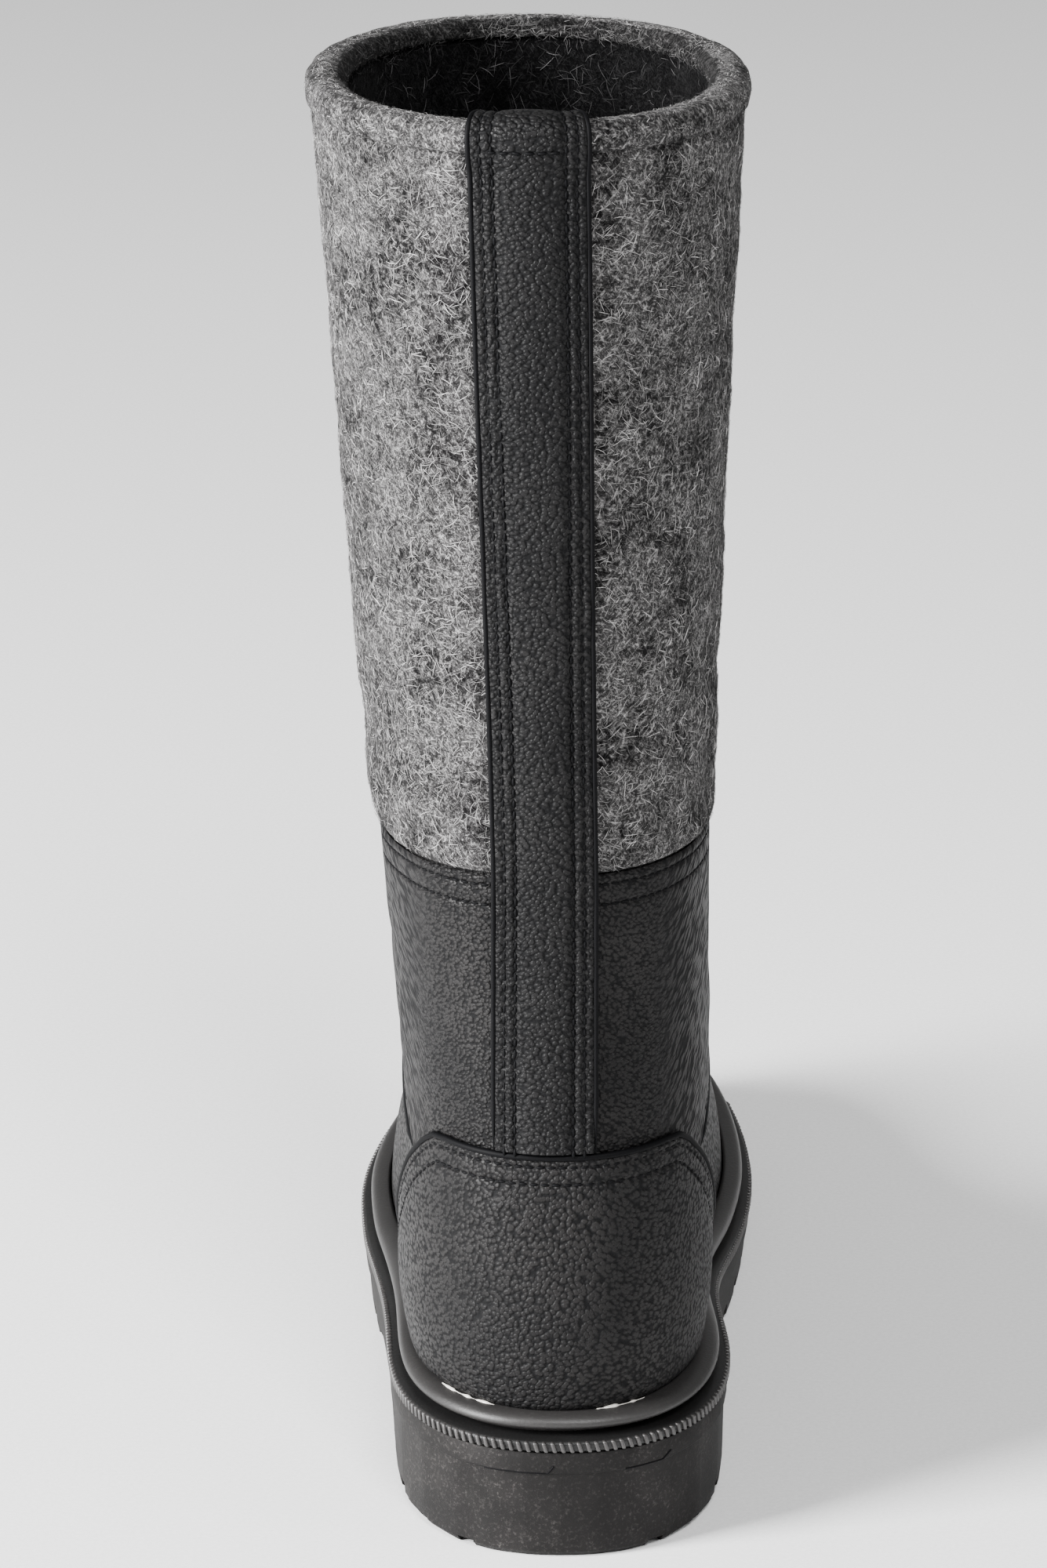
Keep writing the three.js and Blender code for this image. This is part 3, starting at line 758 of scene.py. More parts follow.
def soft_noise(points: np.ndarray, size: float, seed: int) -> np.ndarray:
    """Return a smooth noise from -1 to 1 made of a few waves in random directions.

    Args:
        points: places, in metres.
        size: the lumps' size, in metres.
        seed: the random seed.
    """
    rng = np.random.default_rng(seed)
    total = np.zeros(points.shape[:-1])
    waves = 14
    for _ in range(waves):
        direction = rng.normal(size=3)
        direction *= rng.uniform(0.6, 1.5) * FULL_TURN / (size * np.linalg.norm(direction))
        total += np.sin(points @ direction + rng.uniform(0, FULL_TURN))
    return total * math.sqrt(2 / waves) / 2


# The boot's skin, which overlays, stitches and fibres are laid on


class Skin:
    """A map of a surface by height and by angle round the leg, with 0 at the back."""

    def __init__(self, foot: bpy.types.Object, leg: bpy.types.Object) -> None:
        """Sample the outside of the smooth foot and leg.

        Args:
            foot: the smooth leather foot.
            leg: the smooth felt shaft, whose outside stands over the skin.
        """
        self.columns = 360
        self.low, self.high, self.rows = 30 * MM, 346 * MM, 317
        depsgraph = bpy.context.evaluated_depsgraph_get()
        foot_tree, leg_tree = (BVHTree.FromObject(piece, depsgraph) for piece in (foot, leg))
        self.points = np.empty((self.rows, self.columns, 3))
        reach = 0.4
        heights = np.linspace(self.low, self.high, self.rows)
        for row, height in enumerate(heights):
            middle = leg_middle(height)
            tree = foot_tree if height < SEAM_HEIGHT - 0.5 * MM else leg_tree
            if SEAM_HEIGHT - 0.5 * MM <= height < SEAM_HEIGHT + 1.6 * MM:
                middle.z = SEAM_HEIGHT + 1.6 * MM
            for column in range(self.columns):
                angle = 2 * math.pi * column / self.columns
                way = Vector((math.sin(angle), -math.cos(angle), 0.0))
                hit = tree.ray_cast(middle + way * reach, -way)[0]
                self.points[row, column] = hit if hit is not None else self.points[row, column - 1]
            self.points[row, :, 2] = height
            if tree is leg_tree:
                out = self.points[row, :, :2] - np.array([middle.x, middle.y])
                out /= np.linalg.norm(out, axis=1, keepdims=True)
                self.points[row, :, :2] -= out * FELT_RISE
        around = np.roll(self.points, -1, axis=1) - np.roll(self.points, 1, axis=1)
        upward = np.gradient(self.points, axis=0)
        normals = np.cross(around, upward)
        self.normals = normals / np.linalg.norm(normals, axis=2, keepdims=True)
        step = 2 * math.pi / self.columns
        self.stretch = np.linalg.norm(around, axis=2) / (2 * step)
        turned = (self.stretch + np.roll(self.stretch, -1, axis=1)) / 2 * step
        half = self.columns // 2
        start = np.zeros((self.rows, 1))
        ahead = np.concatenate([start, np.cumsum(turned[:, :half], axis=1)], axis=1)
        back = np.concatenate([start, np.cumsum(turned[:, ::-1][:, :half], axis=1)], axis=1)
        self.arcs = np.concatenate([-back[:, ::-1], ahead[:, 1:]], axis=1)

    def _row(self, height: np.ndarray) -> np.ndarray:
        """Return the row numbers of heights, with parts of a row."""
        return (height - self.low) / (self.high - self.low) * (self.rows - 1)

    def _read(self, grid: np.ndarray, height: np.ndarray, angle: np.ndarray) -> np.ndarray:
        """Read a grid between its rows and columns.

        Args:
            grid: values by row and column.
            height: heights.
            angle: angles in radians.

        Returns:
            The values there.
        """
        row = np.clip(self._row(height), 0, self.rows - 1.001)
        column = (angle / (2 * math.pi) * self.columns) % self.columns
        r, c = row.astype(int), column.astype(int) % self.columns
        u, v = row - r, column - np.floor(column)
        if grid.ndim == 3:
            u, v = u[..., None], v[..., None]
        after = (c + 1) % self.columns
        low = grid[r, c] * (1 - v) + grid[r, after] * v
        high = grid[r + 1, c] * (1 - v) + grid[r + 1, after] * v
        return low * (1 - u) + high * u

    def lay(self, height: np.ndarray, angle: np.ndarray, lift: np.ndarray | float) -> np.ndarray:
        """Return places on the skin, lifted off it.

        Args:
            height: heights.
            angle: angles in radians.
            lift: how far out, in metres.
        """
        height, angle = np.broadcast_arrays(np.asarray(height, float), np.asarray(angle, float))
        raised = np.broadcast_to(np.asarray(lift, float), height.shape)[..., None]
        places = self._read(self.points, height, angle) + self.normal(height, angle) * raised
        places[..., 2] += np.maximum(height - self.high, 0.0)
        return places

    def normal(self, height: np.ndarray, angle: np.ndarray) -> np.ndarray:
        """Return the outward normals at heights and angles."""
        found = self._read(self.normals, np.asarray(height, float), np.asarray(angle, float))
        return found / np.linalg.norm(found, axis=-1, keepdims=True)

    def arc_radius(self, height: np.ndarray, angle: np.ndarray) -> np.ndarray:
        """Return the distance along the skin for each radian of angle."""
        return self._read(self.stretch, height, angle)

    def angle_at(self, height: np.ndarray, across: np.ndarray) -> np.ndarray:
        """Return the angles at distances along the skin from the back.

        Args:
            height: heights.
            across: distances, positive on the medial side.
        """
        height, across = np.broadcast_arrays(np.asarray(height, float), np.asarray(across, float))
        flat_height, flat_across = height.ravel(), across.ravel()
        rows = np.clip(self._row(flat_height), 0, self.rows - 1)
        signed = np.linspace(-math.pi, math.pi, self.arcs.shape[1])
        found = [np.interp(s, self.arcs[int(round(r))], signed) for r, s in zip(rows, flat_across)]
        return np.array(found).reshape(height.shape)


def leg_middle(height: float) -> Vector:
    """Return the point on the leg's axis at a height."""
    return Vector(
        (
            np.interp(height, LEG_AXIS["height"], LEG_AXIS["x"]),
            np.interp(height, LEG_AXIS["height"], LEG_AXIS["y"]),
            height,
        )
    )


LEG_AXIS: dict[str, list[float]] = {"height": [], "x": [], "y": []}


def find_leg_axis(shaft: bpy.types.Object, upper: bpy.types.Object) -> None:
    """Work out the leg's axis from the middles of the shaft's ends and of the heel.

    Args:
        shaft: the shaft's CAD node.
        upper: the upper's CAD node.
    """
    places, foot = read_places(shaft), read_places(upper)
    heel = foot[foot[:, 1] < foot[:, 1].min() + 60 * MM]
    for height, ring in (
        (0.0, heel),
        (SEAM_HEIGHT, places[np.abs(places[:, 2] - SEAM_HEIGHT) < 1 * MM]),
        (places[:, 2].max(), places[places[:, 2] > places[:, 2].max() - 1 * MM]),
    ):
        low, high = ring.min(axis=0), ring.max(axis=0)
        LEG_AXIS["height"].append(float(height))
        LEG_AXIS["x"].append(float((low[0] + high[0]) / 2))
        LEG_AXIS["y"].append(float((low[1] + high[1]) / 2))
    LEG_AXIS["y"][0] = LEG_AXIS["y"][1]


# Shapes of the sole


def sole_top(y: np.ndarray) -> np.ndarray:
    """Return the height of the rubber sole's top at a place along the boot.

    Args:
        y: places along the boot, in the row frame.
    """
    along = (np.asarray(y, float) - HEEL_BACK) / MM
    fall = np.clip((along - 56.0) / 124.0, 0.0, 1.0)
    spring = np.clip((along - 215.0) / 90.0, 0.0, 1.0)
    return (28.0 - 12.0 * fall * fall * (3 - 2 * fall) + 9.0 * spring * spring) * MM


class Outline:
    """The sole's outline, as a distance from the waist at each angle."""

    def __init__(self, source: bpy.types.Object, rise: float) -> None:
        """Measure a ring-shaped piece from outside.

        Args:
            source: the piece.
            rise: how far over the sole's top it is measured.
        """
        self.middle = Vector((4.4 * MM, -10 * MM, 0.0))
        self.angles = np.radians(np.arange(0.0, 360.0, 0.5))
        tree = BVHTree.FromObject(source, bpy.context.evaluated_depsgraph_get())
        self.reach = np.empty(len(self.angles))
        reach = 0.05
        for index, angle in enumerate(self.angles):
            way = Vector((math.sin(angle), math.cos(angle), 0.0))
            for _ in range(3):
                y = self.middle.y + way.y * reach
                start = self.middle + way * 0.3
                start.z = float(sole_top(y)) + rise
                hit = tree.ray_cast(start, -way)[0]
                if hit is not None:
                    reach = (Vector((hit.x, hit.y, 0.0)) - self.middle).length
            self.reach[index] = reach

    def distance(self, angle: np.ndarray) -> np.ndarray:
        """Return the outline's distance from the waist at angles."""
        return np.interp(angle, self.angles, self.reach, period=2 * math.pi)

    def angle_of(self, points: np.ndarray) -> np.ndarray:
        """Return the angles of points."""
        return np.arctan2(points[..., 0] - self.middle.x, points[..., 1] - self.middle.y)

    def path(self, pitch: float) -> np.ndarray:
        """Return points along the outline at an even pitch.

        Args:
            pitch: the distance between two points.
        """
        ring = np.stack([np.sin(self.angles), np.cos(self.angles)], axis=1) * self.reach[:, None]
        ring = np.concatenate([ring, ring[:1]])
        arcs = np.concatenate([[0], np.cumsum(np.linalg.norm(np.diff(ring, axis=0), axis=1))])
        count = round(arcs[-1] / pitch)
        at = np.arange(count) * arcs[-1] / count
        flat = np.stack([np.interp(at, arcs, ring[:, axis]) for axis in (0, 1)], axis=1)
        return flat + np.array([self.middle.x, self.middle.y])


# The boot's pieces


@dataclass(frozen=True)
class Crease:
    """A soft trough, with a low ridge on each side."""

    angle: float
    height: float
    length: float
    turn: float
    depth: float
    width: float


# Angles are in degrees from the back, positive on the medial side, and turns are from level
ANKLE_CREASES = (
    Crease(angle=-74, height=146, length=30, turn=52, depth=0.5, width=3.0),
    Crease(angle=-88, height=132, length=36, turn=48, depth=0.6, width=3.4),
    Crease(angle=-70, height=122, length=26, turn=50, depth=0.4, width=2.8),
    Crease(angle=76, height=140, length=32, turn=-54, depth=0.5, width=3.2),
    Crease(angle=92, height=124, length=34, turn=-46, depth=0.6, width=3.4),
    Crease(angle=172, height=147, length=46, turn=4, depth=0.9, width=4.0),
    Crease(angle=-174, height=134, length=52, turn=-3, depth=1.1, width=4.4),
    Crease(angle=178, height=121, length=48, turn=5, depth=0.9, width=4.0),
    Crease(angle=128, height=128, length=30, turn=-30, depth=0.6, width=3.6),
    Crease(angle=-126, height=126, length=30, turn=32, depth=0.6, width=3.6),
)
FELT_CREASES = (
    Crease(angle=-60, height=196, length=60, turn=8, depth=0.7, width=7.0),
    Crease(angle=70, height=204, length=54, turn=-10, depth=0.7, width=7.5),
    Crease(angle=176, height=198, length=70, turn=3, depth=1.0, width=7.0),
    Crease(angle=-150, height=226, length=60, turn=-8, depth=0.6, width=9.0),
    Crease(angle=110, height=250, length=60, turn=10, depth=0.6, width=10.0),
)
UNROLLED_RADIUS = 46 * MM


def creased(height: np.ndarray, angle: np.ndarray, creases: Sequence[Crease]) -> np.ndarray:
    """Return how far creases move a surface outwards.

    Args:
        height: heights.
        angle: angles in radians.
        creases: the creases.
    """
    total = np.zeros(np.broadcast(height, angle).shape)
    for crease in creases:
        swing = (angle - math.radians(crease.angle) + math.pi) % (2 * math.pi) - math.pi
        over, up = swing * UNROLLED_RADIUS, height - crease.height * MM
        turn = math.radians(crease.turn)
        along = over * math.cos(turn) + up * math.sin(turn)
        across = (up * math.cos(turn) - over * math.sin(turn)) / (crease.width * MM)
        fade = np.clip(1 - (along / (crease.length * MM / 2)) ** 2, 0, 1)
        banks = np.exp(-((across - 1.6) ** 2)) + np.exp(-((across + 1.6) ** 2))
        shape = 0.45 * banks - np.exp(-(across**2))
        total += crease.depth * MM * fade * shape
    return total


def felt_lift(points: np.ndarray, height: np.ndarray, angle: np.ndarray) -> np.ndarray:
    """Return the felt's soft lumps, its bulge over the leather's edge and its creases.

    Args:
        points: places on the boot's skin.
        height: their heights.
        angle: their angles.
    """
    lumps = soft_noise(points, 34 * MM, 11) * 0.35 * MM + soft_noise(points, 9 * MM, 12) * 0.16 * MM
    over = np.clip((height - SEAM_HEIGHT) / MM, 0, None)
    bulge = 1.2 * MM * (1 - np.exp(-over / 1.6)) * np.exp(-over / 14) - 0.7 * MM * np.exp(-over / 0.8)
    pinch = -0.9 * MM * np.exp(-(((height - 340.6 * MM) / (1.3 * MM)) ** 2))
    across = np.abs(points[..., 0] - np.interp(height, LEG_AXIS["height"], LEG_AXIS["x"])) / MM
    behind = points[..., 1] < np.interp(height, LEG_AXIS["height"], LEG_AXIS["y"])
    pressed = -0.9 * MM * np.exp(-(((across - 12.0) / 2.2) ** 2)) * behind
    return lumps + bulge + pinch + pressed + creased(height, angle, FELT_CREASES)


def leather_lift(points: np.ndarray, height: np.ndarray, angle: np.ndarray) -> np.ndarray:
    """Return the ankle leather's slight unevenness and creases."""
    return soft_noise(points, 26 * MM, 21) * 0.18 * MM + creased(height, angle, ANKLE_CREASES)


# Edges seen from the side. Along is in millimetres from the heel's back.
COUNTER_EDGE = (
    (-29.1, 100),
    (22.3, 100),
    (27.2, 99.5),
    (31.0, 97.0),
    (34.9, 93.6),
    (40.0, 89.1),
    (50.0, 78.0),
    (60.0, 68.7),
    (70.0, 58.5),
    (80.0, 47.5),
    (88.3, 35.0),
    (93.1, 24.0),
    (97, 10.0),
)
QUARTER_EDGE = (
    (-29.1, 54.8),
    (30.1, 80.0),
    (40.0, 89.5),
    (50.0, 94.3),
    (62.1, 99.7),
    (75.0, 106.0),
    (90.2, 113.4),
    (111.5, 124.5),
    (128.0, 132.5),
    (145.5, 137),
    (184.3, 137),
)


def edge_at(rows: Sequence[tuple[float, float]], y: np.ndarray) -> np.ndarray:
    """Return an edge's height at places along the boot, in metres."""
    along, height = np.array(rows).T
    return np.interp((y - HEEL_BACK) / MM, along, height) * MM


def rand_top(y: np.ndarray) -> np.ndarray:
    """Return the height of the rand's top at places along the boot."""
    return sole_top(y) + 8.5 * MM


def top_crossing(skin: Skin, angles: np.ndarray, edge: object, low: float, high: float) -> np.ndarray:
    """Return the height at which each upright line on the skin crosses an edge.

    Args:
        skin: the boot's skin.
        angles: the lines' angles.
        edge: a function from y to the edge's height.
        low: the lowest height that is searched.
        high: the highest.
    """
    heights = np.linspace(low, high, 500)
    grid_height, grid_angle = np.meshgrid(heights, angles, indexing="ij")
    places = skin.lay(grid_height, grid_angle, 0.0)
    under = grid_height <= edge(places[..., 1])
    last = len(heights) - 1 - np.argmax(under[::-1], axis=0)
    return np.where(under.any(axis=0), heights[last], low)


def nearest_distance(points: np.ndarray, path: np.ndarray) -> np.ndarray:
    """Return the distance from each point to the nearest point of a dense path."""
    tree = KDTree(len(path))
    for index, place in enumerate(path):
        tree.insert(place, index)
    tree.balance()
    flat = points.reshape(-1, 3)
    return np.array([tree.find(p)[2] for p in flat]).reshape(points.shape[:-1])


def dense(path: np.ndarray, pitch: float, closed: bool = False) -> np.ndarray:
    """Resample a path at an even pitch.

    Args:
        path: its points.
        pitch: the distance between two new points.
        closed: whether the last point joins the first.

    Returns:
        The new points.
    """
    if closed:
        path = np.concatenate([path, path[:1]])
    arcs = np.concatenate([[0], np.cumsum(np.linalg.norm(np.diff(path, axis=0), axis=1))])
    count = max(2, round(arcs[-1] / pitch))
    at = (np.arange(count) + 0.5) * arcs[-1] / count if closed else np.linspace(0, arcs[-1], count)
    return np.stack([np.interp(at, arcs, path[:, axis]) for axis in range(3)], axis=1)


def groove(distance: np.ndarray, centre: float, width: float, depth: float) -> np.ndarray:
    """Return a rounded groove of a depth at a distance from an edge."""
    return -depth * np.exp(-(((distance - centre) / width) ** 2))


def turned_edge(distance: np.ndarray, width: float, depth: float) -> np.ndarray:
    """Return how a sheet's edge falls away within a width."""
    share = np.clip(1 - distance / width, 0, 1)
    return -depth * share * share


class Stitching:
    """Rows of thread, gathered over the boot and joined into one piece for each area."""

    PITCH = 2.65 * MM

    def __init__(self) -> None:
        """Start with no stitches."""
        self.places: dict[str, list[np.ndarray]] = {}

    def add_row(self, area: str, path: np.ndarray, normals: np.ndarray, sink: float = 0.06 * MM) -> None:
        """Lay a row of stitches along a path.

        Args:
            area: the piece that the row belongs to.
            path: points at the stitches' pitch.
            normals: the surface's outward normals there.
            sink: how deep the threads lie.
        """
        along = np.gradient(path, axis=0)
        along /= np.linalg.norm(along, axis=1, keepdims=True) + 1e-12
        out = normals / np.linalg.norm(normals, axis=1, keepdims=True)
        side = np.cross(out, along)
        side /= np.linalg.norm(side, axis=1, keepdims=True) + 1e-12
        out = np.cross(along, side)
        rng = np.random.default_rng(len(path))
        sway = rng.normal(0, 0.05, (len(path), 1))
        turned = along + side * sway
        matrices = np.stack([turned, side, out, path - out * sink], axis=2)
        self.places.setdefault(area, []).append(matrices)

    def build(self, thread_and_shadow: bpy.types.Material) -> None:
        """Make one piece of stitches for each area."""
        for area, rows in self.places.items():
            template = self._stitch()
            piece = joined_copies(f"{area}_stitches", template, np.concatenate(rows))
            hand_in(piece, Slot.LEATHER, [thread_and_shadow])

    @staticmethod
    def _stitch() -> bpy.types.Object:
        """Return one stitch, an arched thread along +X."""
        bpy.ops.object.select_all(action="DESELECT")
        lying = (0, math.pi / 2, 0)
        bpy.ops.mesh.primitive_uv_sphere_add(segments=6, ring_count=5, radius=1.0, rotation=lying)
        stitch = bpy.context.object
        bpy.ops.object.transform_apply(location=False, rotation=True, scale=False)
        for vertex in stitch.data.vertices:
            x, y, z = vertex.co
            vertex.co = (x * 1.12 * MM, y * 0.42 * MM, z * 0.36 * MM - 0.2 * MM * x * x)
        return stitch


def face_outwards(piece: bpy.types.Object) -> None:
    """Turn a sheet's faces so that they look away from the leg's axis."""
    total = 0.0
    for face in list(piece.data.polygons)[:: max(1, len(piece.data.polygons) // 400)]:
        total += face.normal.dot(face.center - leg_middle(face.center.z))
    if total < 0:
        select_only(piece)
        bpy.ops.object.mode_set(mode="EDIT")
        bpy.ops.mesh.select_all(action="SELECT")
        bpy.ops.mesh.flip_normals()
        bpy.ops.object.mode_set(mode="OBJECT")


# The parting line's steps, where black cords paint their shade, as sideways places and heights in
# millimetres
PARTING_SHADE_MARKS = {
    "left": ((-14.0, 22.7), (1.2, 22.7), (2.6, 24.6)),
    "right": ((20.0, 22.9), (29.0, 22.9), (31.0, 24.6)),
}


@dataclass
class RubberSole:
    """The rubber outsole, its toothed welt and the rand."""

    tooth_pitch: float = 2.1 * MM
    tooth_height: float = 2.6 * MM
    tooth_width: float = 1.1 * MM
    tooth_depth: float = 1.5 * MM
    cuts: int = 90

    def build(self, nodes: dict[str, bpy.types.Object], finishes: Finishes) -> None:
        """Make the sole's pieces.

        Args:
            nodes: the CAD nodes by name.
            finishes: the finishes.
        """
        facets = Outline(nodes["welt"], 1.6 * MM)
        welt = node_copy(nodes["welt"], "welt_ledge")
        crease_sharp_edges(welt, math.radians(35))
        subdivide_smooth(welt, 2)
        outline = Outline(welt, 1.6 * MM)
        hand_in(welt, Slot.RUBBER, [finishes.welt_rubber], "welt")
        rand = node_copy(nodes["rand"], "rand_bead")
        crease_sharp_edges(rand, math.radians(75))
        subdivide_smooth(rand, 2)
        hand_in(rand, Slot.RUBBER, [finishes.rand_rubber], "rand")
        self.build_outsole(nodes["outsole"], facets, outline, finishes)
        self.build_teeth(outline, finishes)

    def build_outsole(
        self, node: bpy.types.Object, facets: Outline, outline: Outline, finishes: Finishes
    ) -> None:
        """Round the outsole's faceted side and soften its edges."""
        sole = node_copy(node, "sole_block")
        mesh = bmesh.new()
        mesh.from_mesh(sole.data)
        for index in range(self.cuts):
            angle = math.pi * index / self.cuts
            across = Vector((math.cos(angle), -math.sin(angle), 0.0))
            geometry = mesh.verts[:] + mesh.edges[:] + mesh.faces[:]
            bmesh.ops.bisect_plane(
                mesh, geom=geometry, dist=0.02 * MM, plane_co=outline.middle, plane_no=across
            )
        mesh.to_mesh(sole.data)
        mesh.free()
        points = read_places(sole)
        angles = outline.angle_of(points)
        ratio = outline.distance(angles) / facets.distance(angles)
        middle = np.array([outline.middle.x, outline.middle.y])
        reach = np.linalg.norm(points[:, :2] - middle, axis=1)
        near = np.clip((reach / outline.distance(angles) - 0.75) / 0.2, 0, 1)
        points[:, :2] = middle + (points[:, :2] - middle) * (1 + (ratio - 1) * near)[:, None]
        sole.data.vertices.foreach_set("co", points.ravel())
        soften = sole.modifiers.new("soften", "BEVEL")
        soften.width = 0.45 * MM
        soften.segments = 2
        soften.limit_method = "ANGLE"
        soften.angle_limit = math.radians(38)
        apply_modifiers(sole)
        select_only(sole)
        bpy.ops.object.shade_smooth_by_angle(angle=math.radians(38))
        hand_in(sole, Slot.RUBBER, [finishes.rubber], "outsole")
        self.build_parting_shade(sole, finishes)

    def build_parting_shade(self, sole: bpy.types.Object, finishes: Finishes) -> None:
        """Lay black cords along the short steps of the mould's parting line across the heel: painted shade
        in the steps.
        """
        tree = BVHTree.FromObject(sole, bpy.context.evaluated_depsgraph_get())
        for name, marks in PARTING_SHADE_MARKS.items():
            line = dense(np.array([(x * MM, 0.0, z * MM) for x, z in marks]), 0.4 * MM)
            hits = [tree.ray_cast(Vector((x, -0.3, z)), Vector((0.0, 1.0, 0.0))) for x, _, z in line]
            path = np.array([hit[0] for hit in hits])
            out = np.array([hit[1] for hit in hits])
            # Each cord is black: painted shade along the step.
            shade_cord = tube(f"parting_{name}", path, out, np.full(len(path), 0.26 * MM))
            hand_in(shade_cord, Slot.RUBBER, [finishes.thread_and_shadow])

    def build_teeth(self, outline: Outline, finishes: Finishes) -> None:
        """Stand slanted teeth round the welt's edge."""
        bpy.ops.object.select_all(action="DESELECT")
        bpy.ops.mesh.primitive_cube_add(size=1.0)
        tooth = bpy.context.object
        tooth.scale = (self.tooth_width, self.tooth_depth, self.tooth_height)
        bpy.ops.object.transform_apply(location=False, rotation=False, scale=True)
        rounded = tooth.modifiers.new("rounded", "BEVEL")
        rounded.width = 0.4 * MM
        rounded.segments = 2
        apply_modifiers(tooth)
        flat = outline.path(self.tooth_pitch)
        along = np.roll(flat, -1, axis=0) - np.roll(flat, 1, axis=0)
        along /= np.linalg.norm(along, axis=1, keepdims=True)
        out = np.stack([along[:, 1], -along[:, 0]], axis=1)
        away = np.sign(np.sum(out * (flat - flat.mean(axis=0)), axis=1).mean())
        out *= away
        rise = sole_top(flat[:, 1]) + 1.65 * MM
        zero, one = np.zeros(len(flat)), np.ones(len(flat))
        slant = 0.28
        matrices = np.stack(
            [
                np.stack([along[:, 0], along[:, 1], zero], axis=1),
                np.stack([out[:, 0], out[:, 1], zero], axis=1),
                np.stack([along[:, 0] * slant, along[:, 1] * slant, one], axis=1),
                np.stack([*(flat[:, :2] - out[:, :2] * 0.1 * MM).T, rise], axis=1),
            ],
            axis=2,
        )
        teeth = joined_copies("welt_teeth", tooth, matrices)
        hand_in(teeth, Slot.RUBBER, [finishes.lit_tooth_rubber])


@dataclass
class LeatherFoot:
    """The leather foot, with the quarter and the counter over it."""

    skin: Skin
    stitching: Stitching
    quarter_rise: float = 1.8 * MM
    quarter_wall: float = 1.5 * MM
    quarter_rows: tuple[float, float] = (2.4 * MM, 7.3 * MM)
    # Radius of the black cord of painted shadow below the ankle panel's front edge.
    quarter_edge_shadow: float = 1.35 * MM
    counter_rise: float = 3.1 * MM
    counter_wall: float = 2.0 * MM
    counter_rows: tuple[float, float] = (1.8 * MM, 6.0 * MM)
    # Radius of the black cord along the heel panel's top edge: its cut edge and painted shadow.
    counter_edge_and_shadow: float = 0.8 * MM

    def build_quarter(self, finishes: Finishes) -> None:
        """Lay the ankle panel, from its side edges to the felt's seam."""
        angles = np.radians(np.arange(0.0, 360.0, 1.0))
        low = top_crossing(
            self.skin,
            angles,
            lambda y: np.maximum(edge_at(QUARTER_EDGE, y), edge_at(COUNTER_EDGE, y - 0.9 * MM) + 0.6 * MM),
            30 * MM,
            168 * MM,
        )
        top = SEAM_HEIGHT - 0.3 * MM
        near = [0, 0.25, 0.6, 1.1, 1.6, 2.0, 2.4, 2.8, 3.3, 4.0, 5.0, 6.0, 6.5, 6.9, 7.3, 7.7, 8.2, 9.0]
        near = np.array(near) * MM
        foot = np.array([0, 0.3, 0.7, 1.2, 1.8, 2.3, 3.0]) * MM
        middle = np.linspace(0, 1, 38)[1:-1]
        rows = [low + d for d in foot]
        rows += [(low + foot[-1]) * (1 - s) + (top - near[-1]) * s for s in middle]
        rows += [np.full(len(angles), top - d) for d in near[::-1]]
        height = np.array(rows)
        angle = np.broadcast_to(angles, height.shape)
        base = self.skin.lay(height, angle, 0.0)
        down = top - height
        lift = self.quarter_rise + leather_lift(base, height, angle)
        for drop in self.quarter_rows:
            lift = lift + groove(down, drop, 0.5 * MM, 0.45 * MM)
        lift = lift + turned_edge(down, 1.1 * MM, 0.7 * MM)
        edge = dense(self.skin.lay(low, angles, 0.0), 0.5 * MM, closed=True)
        off_edge = nearest_distance(base, edge)
        lift = lift + turned_edge(off_edge, 0.8 * MM, 0.45 * MM)
        lift = lift + groove(off_edge, 2.0 * MM, 0.5 * MM, 0.2 * MM)
        quarter = grid_piece("quarter_panel", self.skin.lay(height, angle, lift), around=True)
        face_outwards(quarter)
        thicken(quarter, self.quarter_wall)
        hand_in(quarter, Slot.LEATHER, [finishes.fine_leather], "quarter")
        for drop in self.quarter_rows:
            self._stitch_ring(top - drop)
        self._stitch_front_edge(low, angles)
        self._lay_edge_shadow(low, angles, finishes)

    def _lay_edge_shadow(self, low: np.ndarray, angles: np.ndarray, finishes: Finishes) -> None:
        """Lay a black cord round the front of the ankle panel: painted shadow, the shade its edge casts on
        the foot below.
        """
        forward = self.skin.lay(low, angles, 0.0)[:, 1] > HEEL_BACK + 38 * MM
        drop = low[forward] - 0.9 * MM
        turned = angles[forward]
        path = self.skin.lay(drop, turned, 0.8 * MM)
        radius = tapered(len(path), 12, self.quarter_edge_shadow)
        roll = tube("quarter_edge_shadow", path, self.skin.normal(drop, turned), radius)
        hand_in(roll, Slot.LEATHER, [finishes.thread_and_shadow])

    def _stitch_ring(self, height: float) -> None:
        """Lay a level row of stitches round the ankle, clear of the backstay."""
        angles = np.radians(np.arange(0.0, 360.0, 0.5))
        level = np.full(len(angles), height)
        base = self.skin.lay(level, angles, 0.0)
        lift = self.quarter_rise - 0.25 * MM + leather_lift(base, level, angles)
        path = dense(self.skin.lay(level, angles, lift), Stitching.PITCH, closed=True)
        keep = np.abs(self._across(path)) > 11.5 * MM
        path = path[keep | (path[:, 1] > 0)]
        self.stitching.add_row("quarter", path, self._normals(path))

    def _across(self, path: np.ndarray) -> np.ndarray:
        """Return the sideways distance of points from the leg's middle line."""
        middle = np.interp(path[:, 2], LEG_AXIS["height"], LEG_AXIS["x"])
        ahead = np.interp(path[:, 2], LEG_AXIS["height"], LEG_AXIS["y"])
        return np.where(path[:, 1] < ahead, path[:, 0] - middle, 1.0)

    def _polar(self, path: np.ndarray) -> tuple[np.ndarray, np.ndarray]:
        """Return the heights and angles of points."""
        x = path[..., 0] - np.interp(path[..., 2], LEG_AXIS["height"], LEG_AXIS["x"])
        y = path[..., 1] - np.interp(path[..., 2], LEG_AXIS["height"], LEG_AXIS["y"])
        return path[..., 2], np.arctan2(x, -y) % (2 * math.pi)

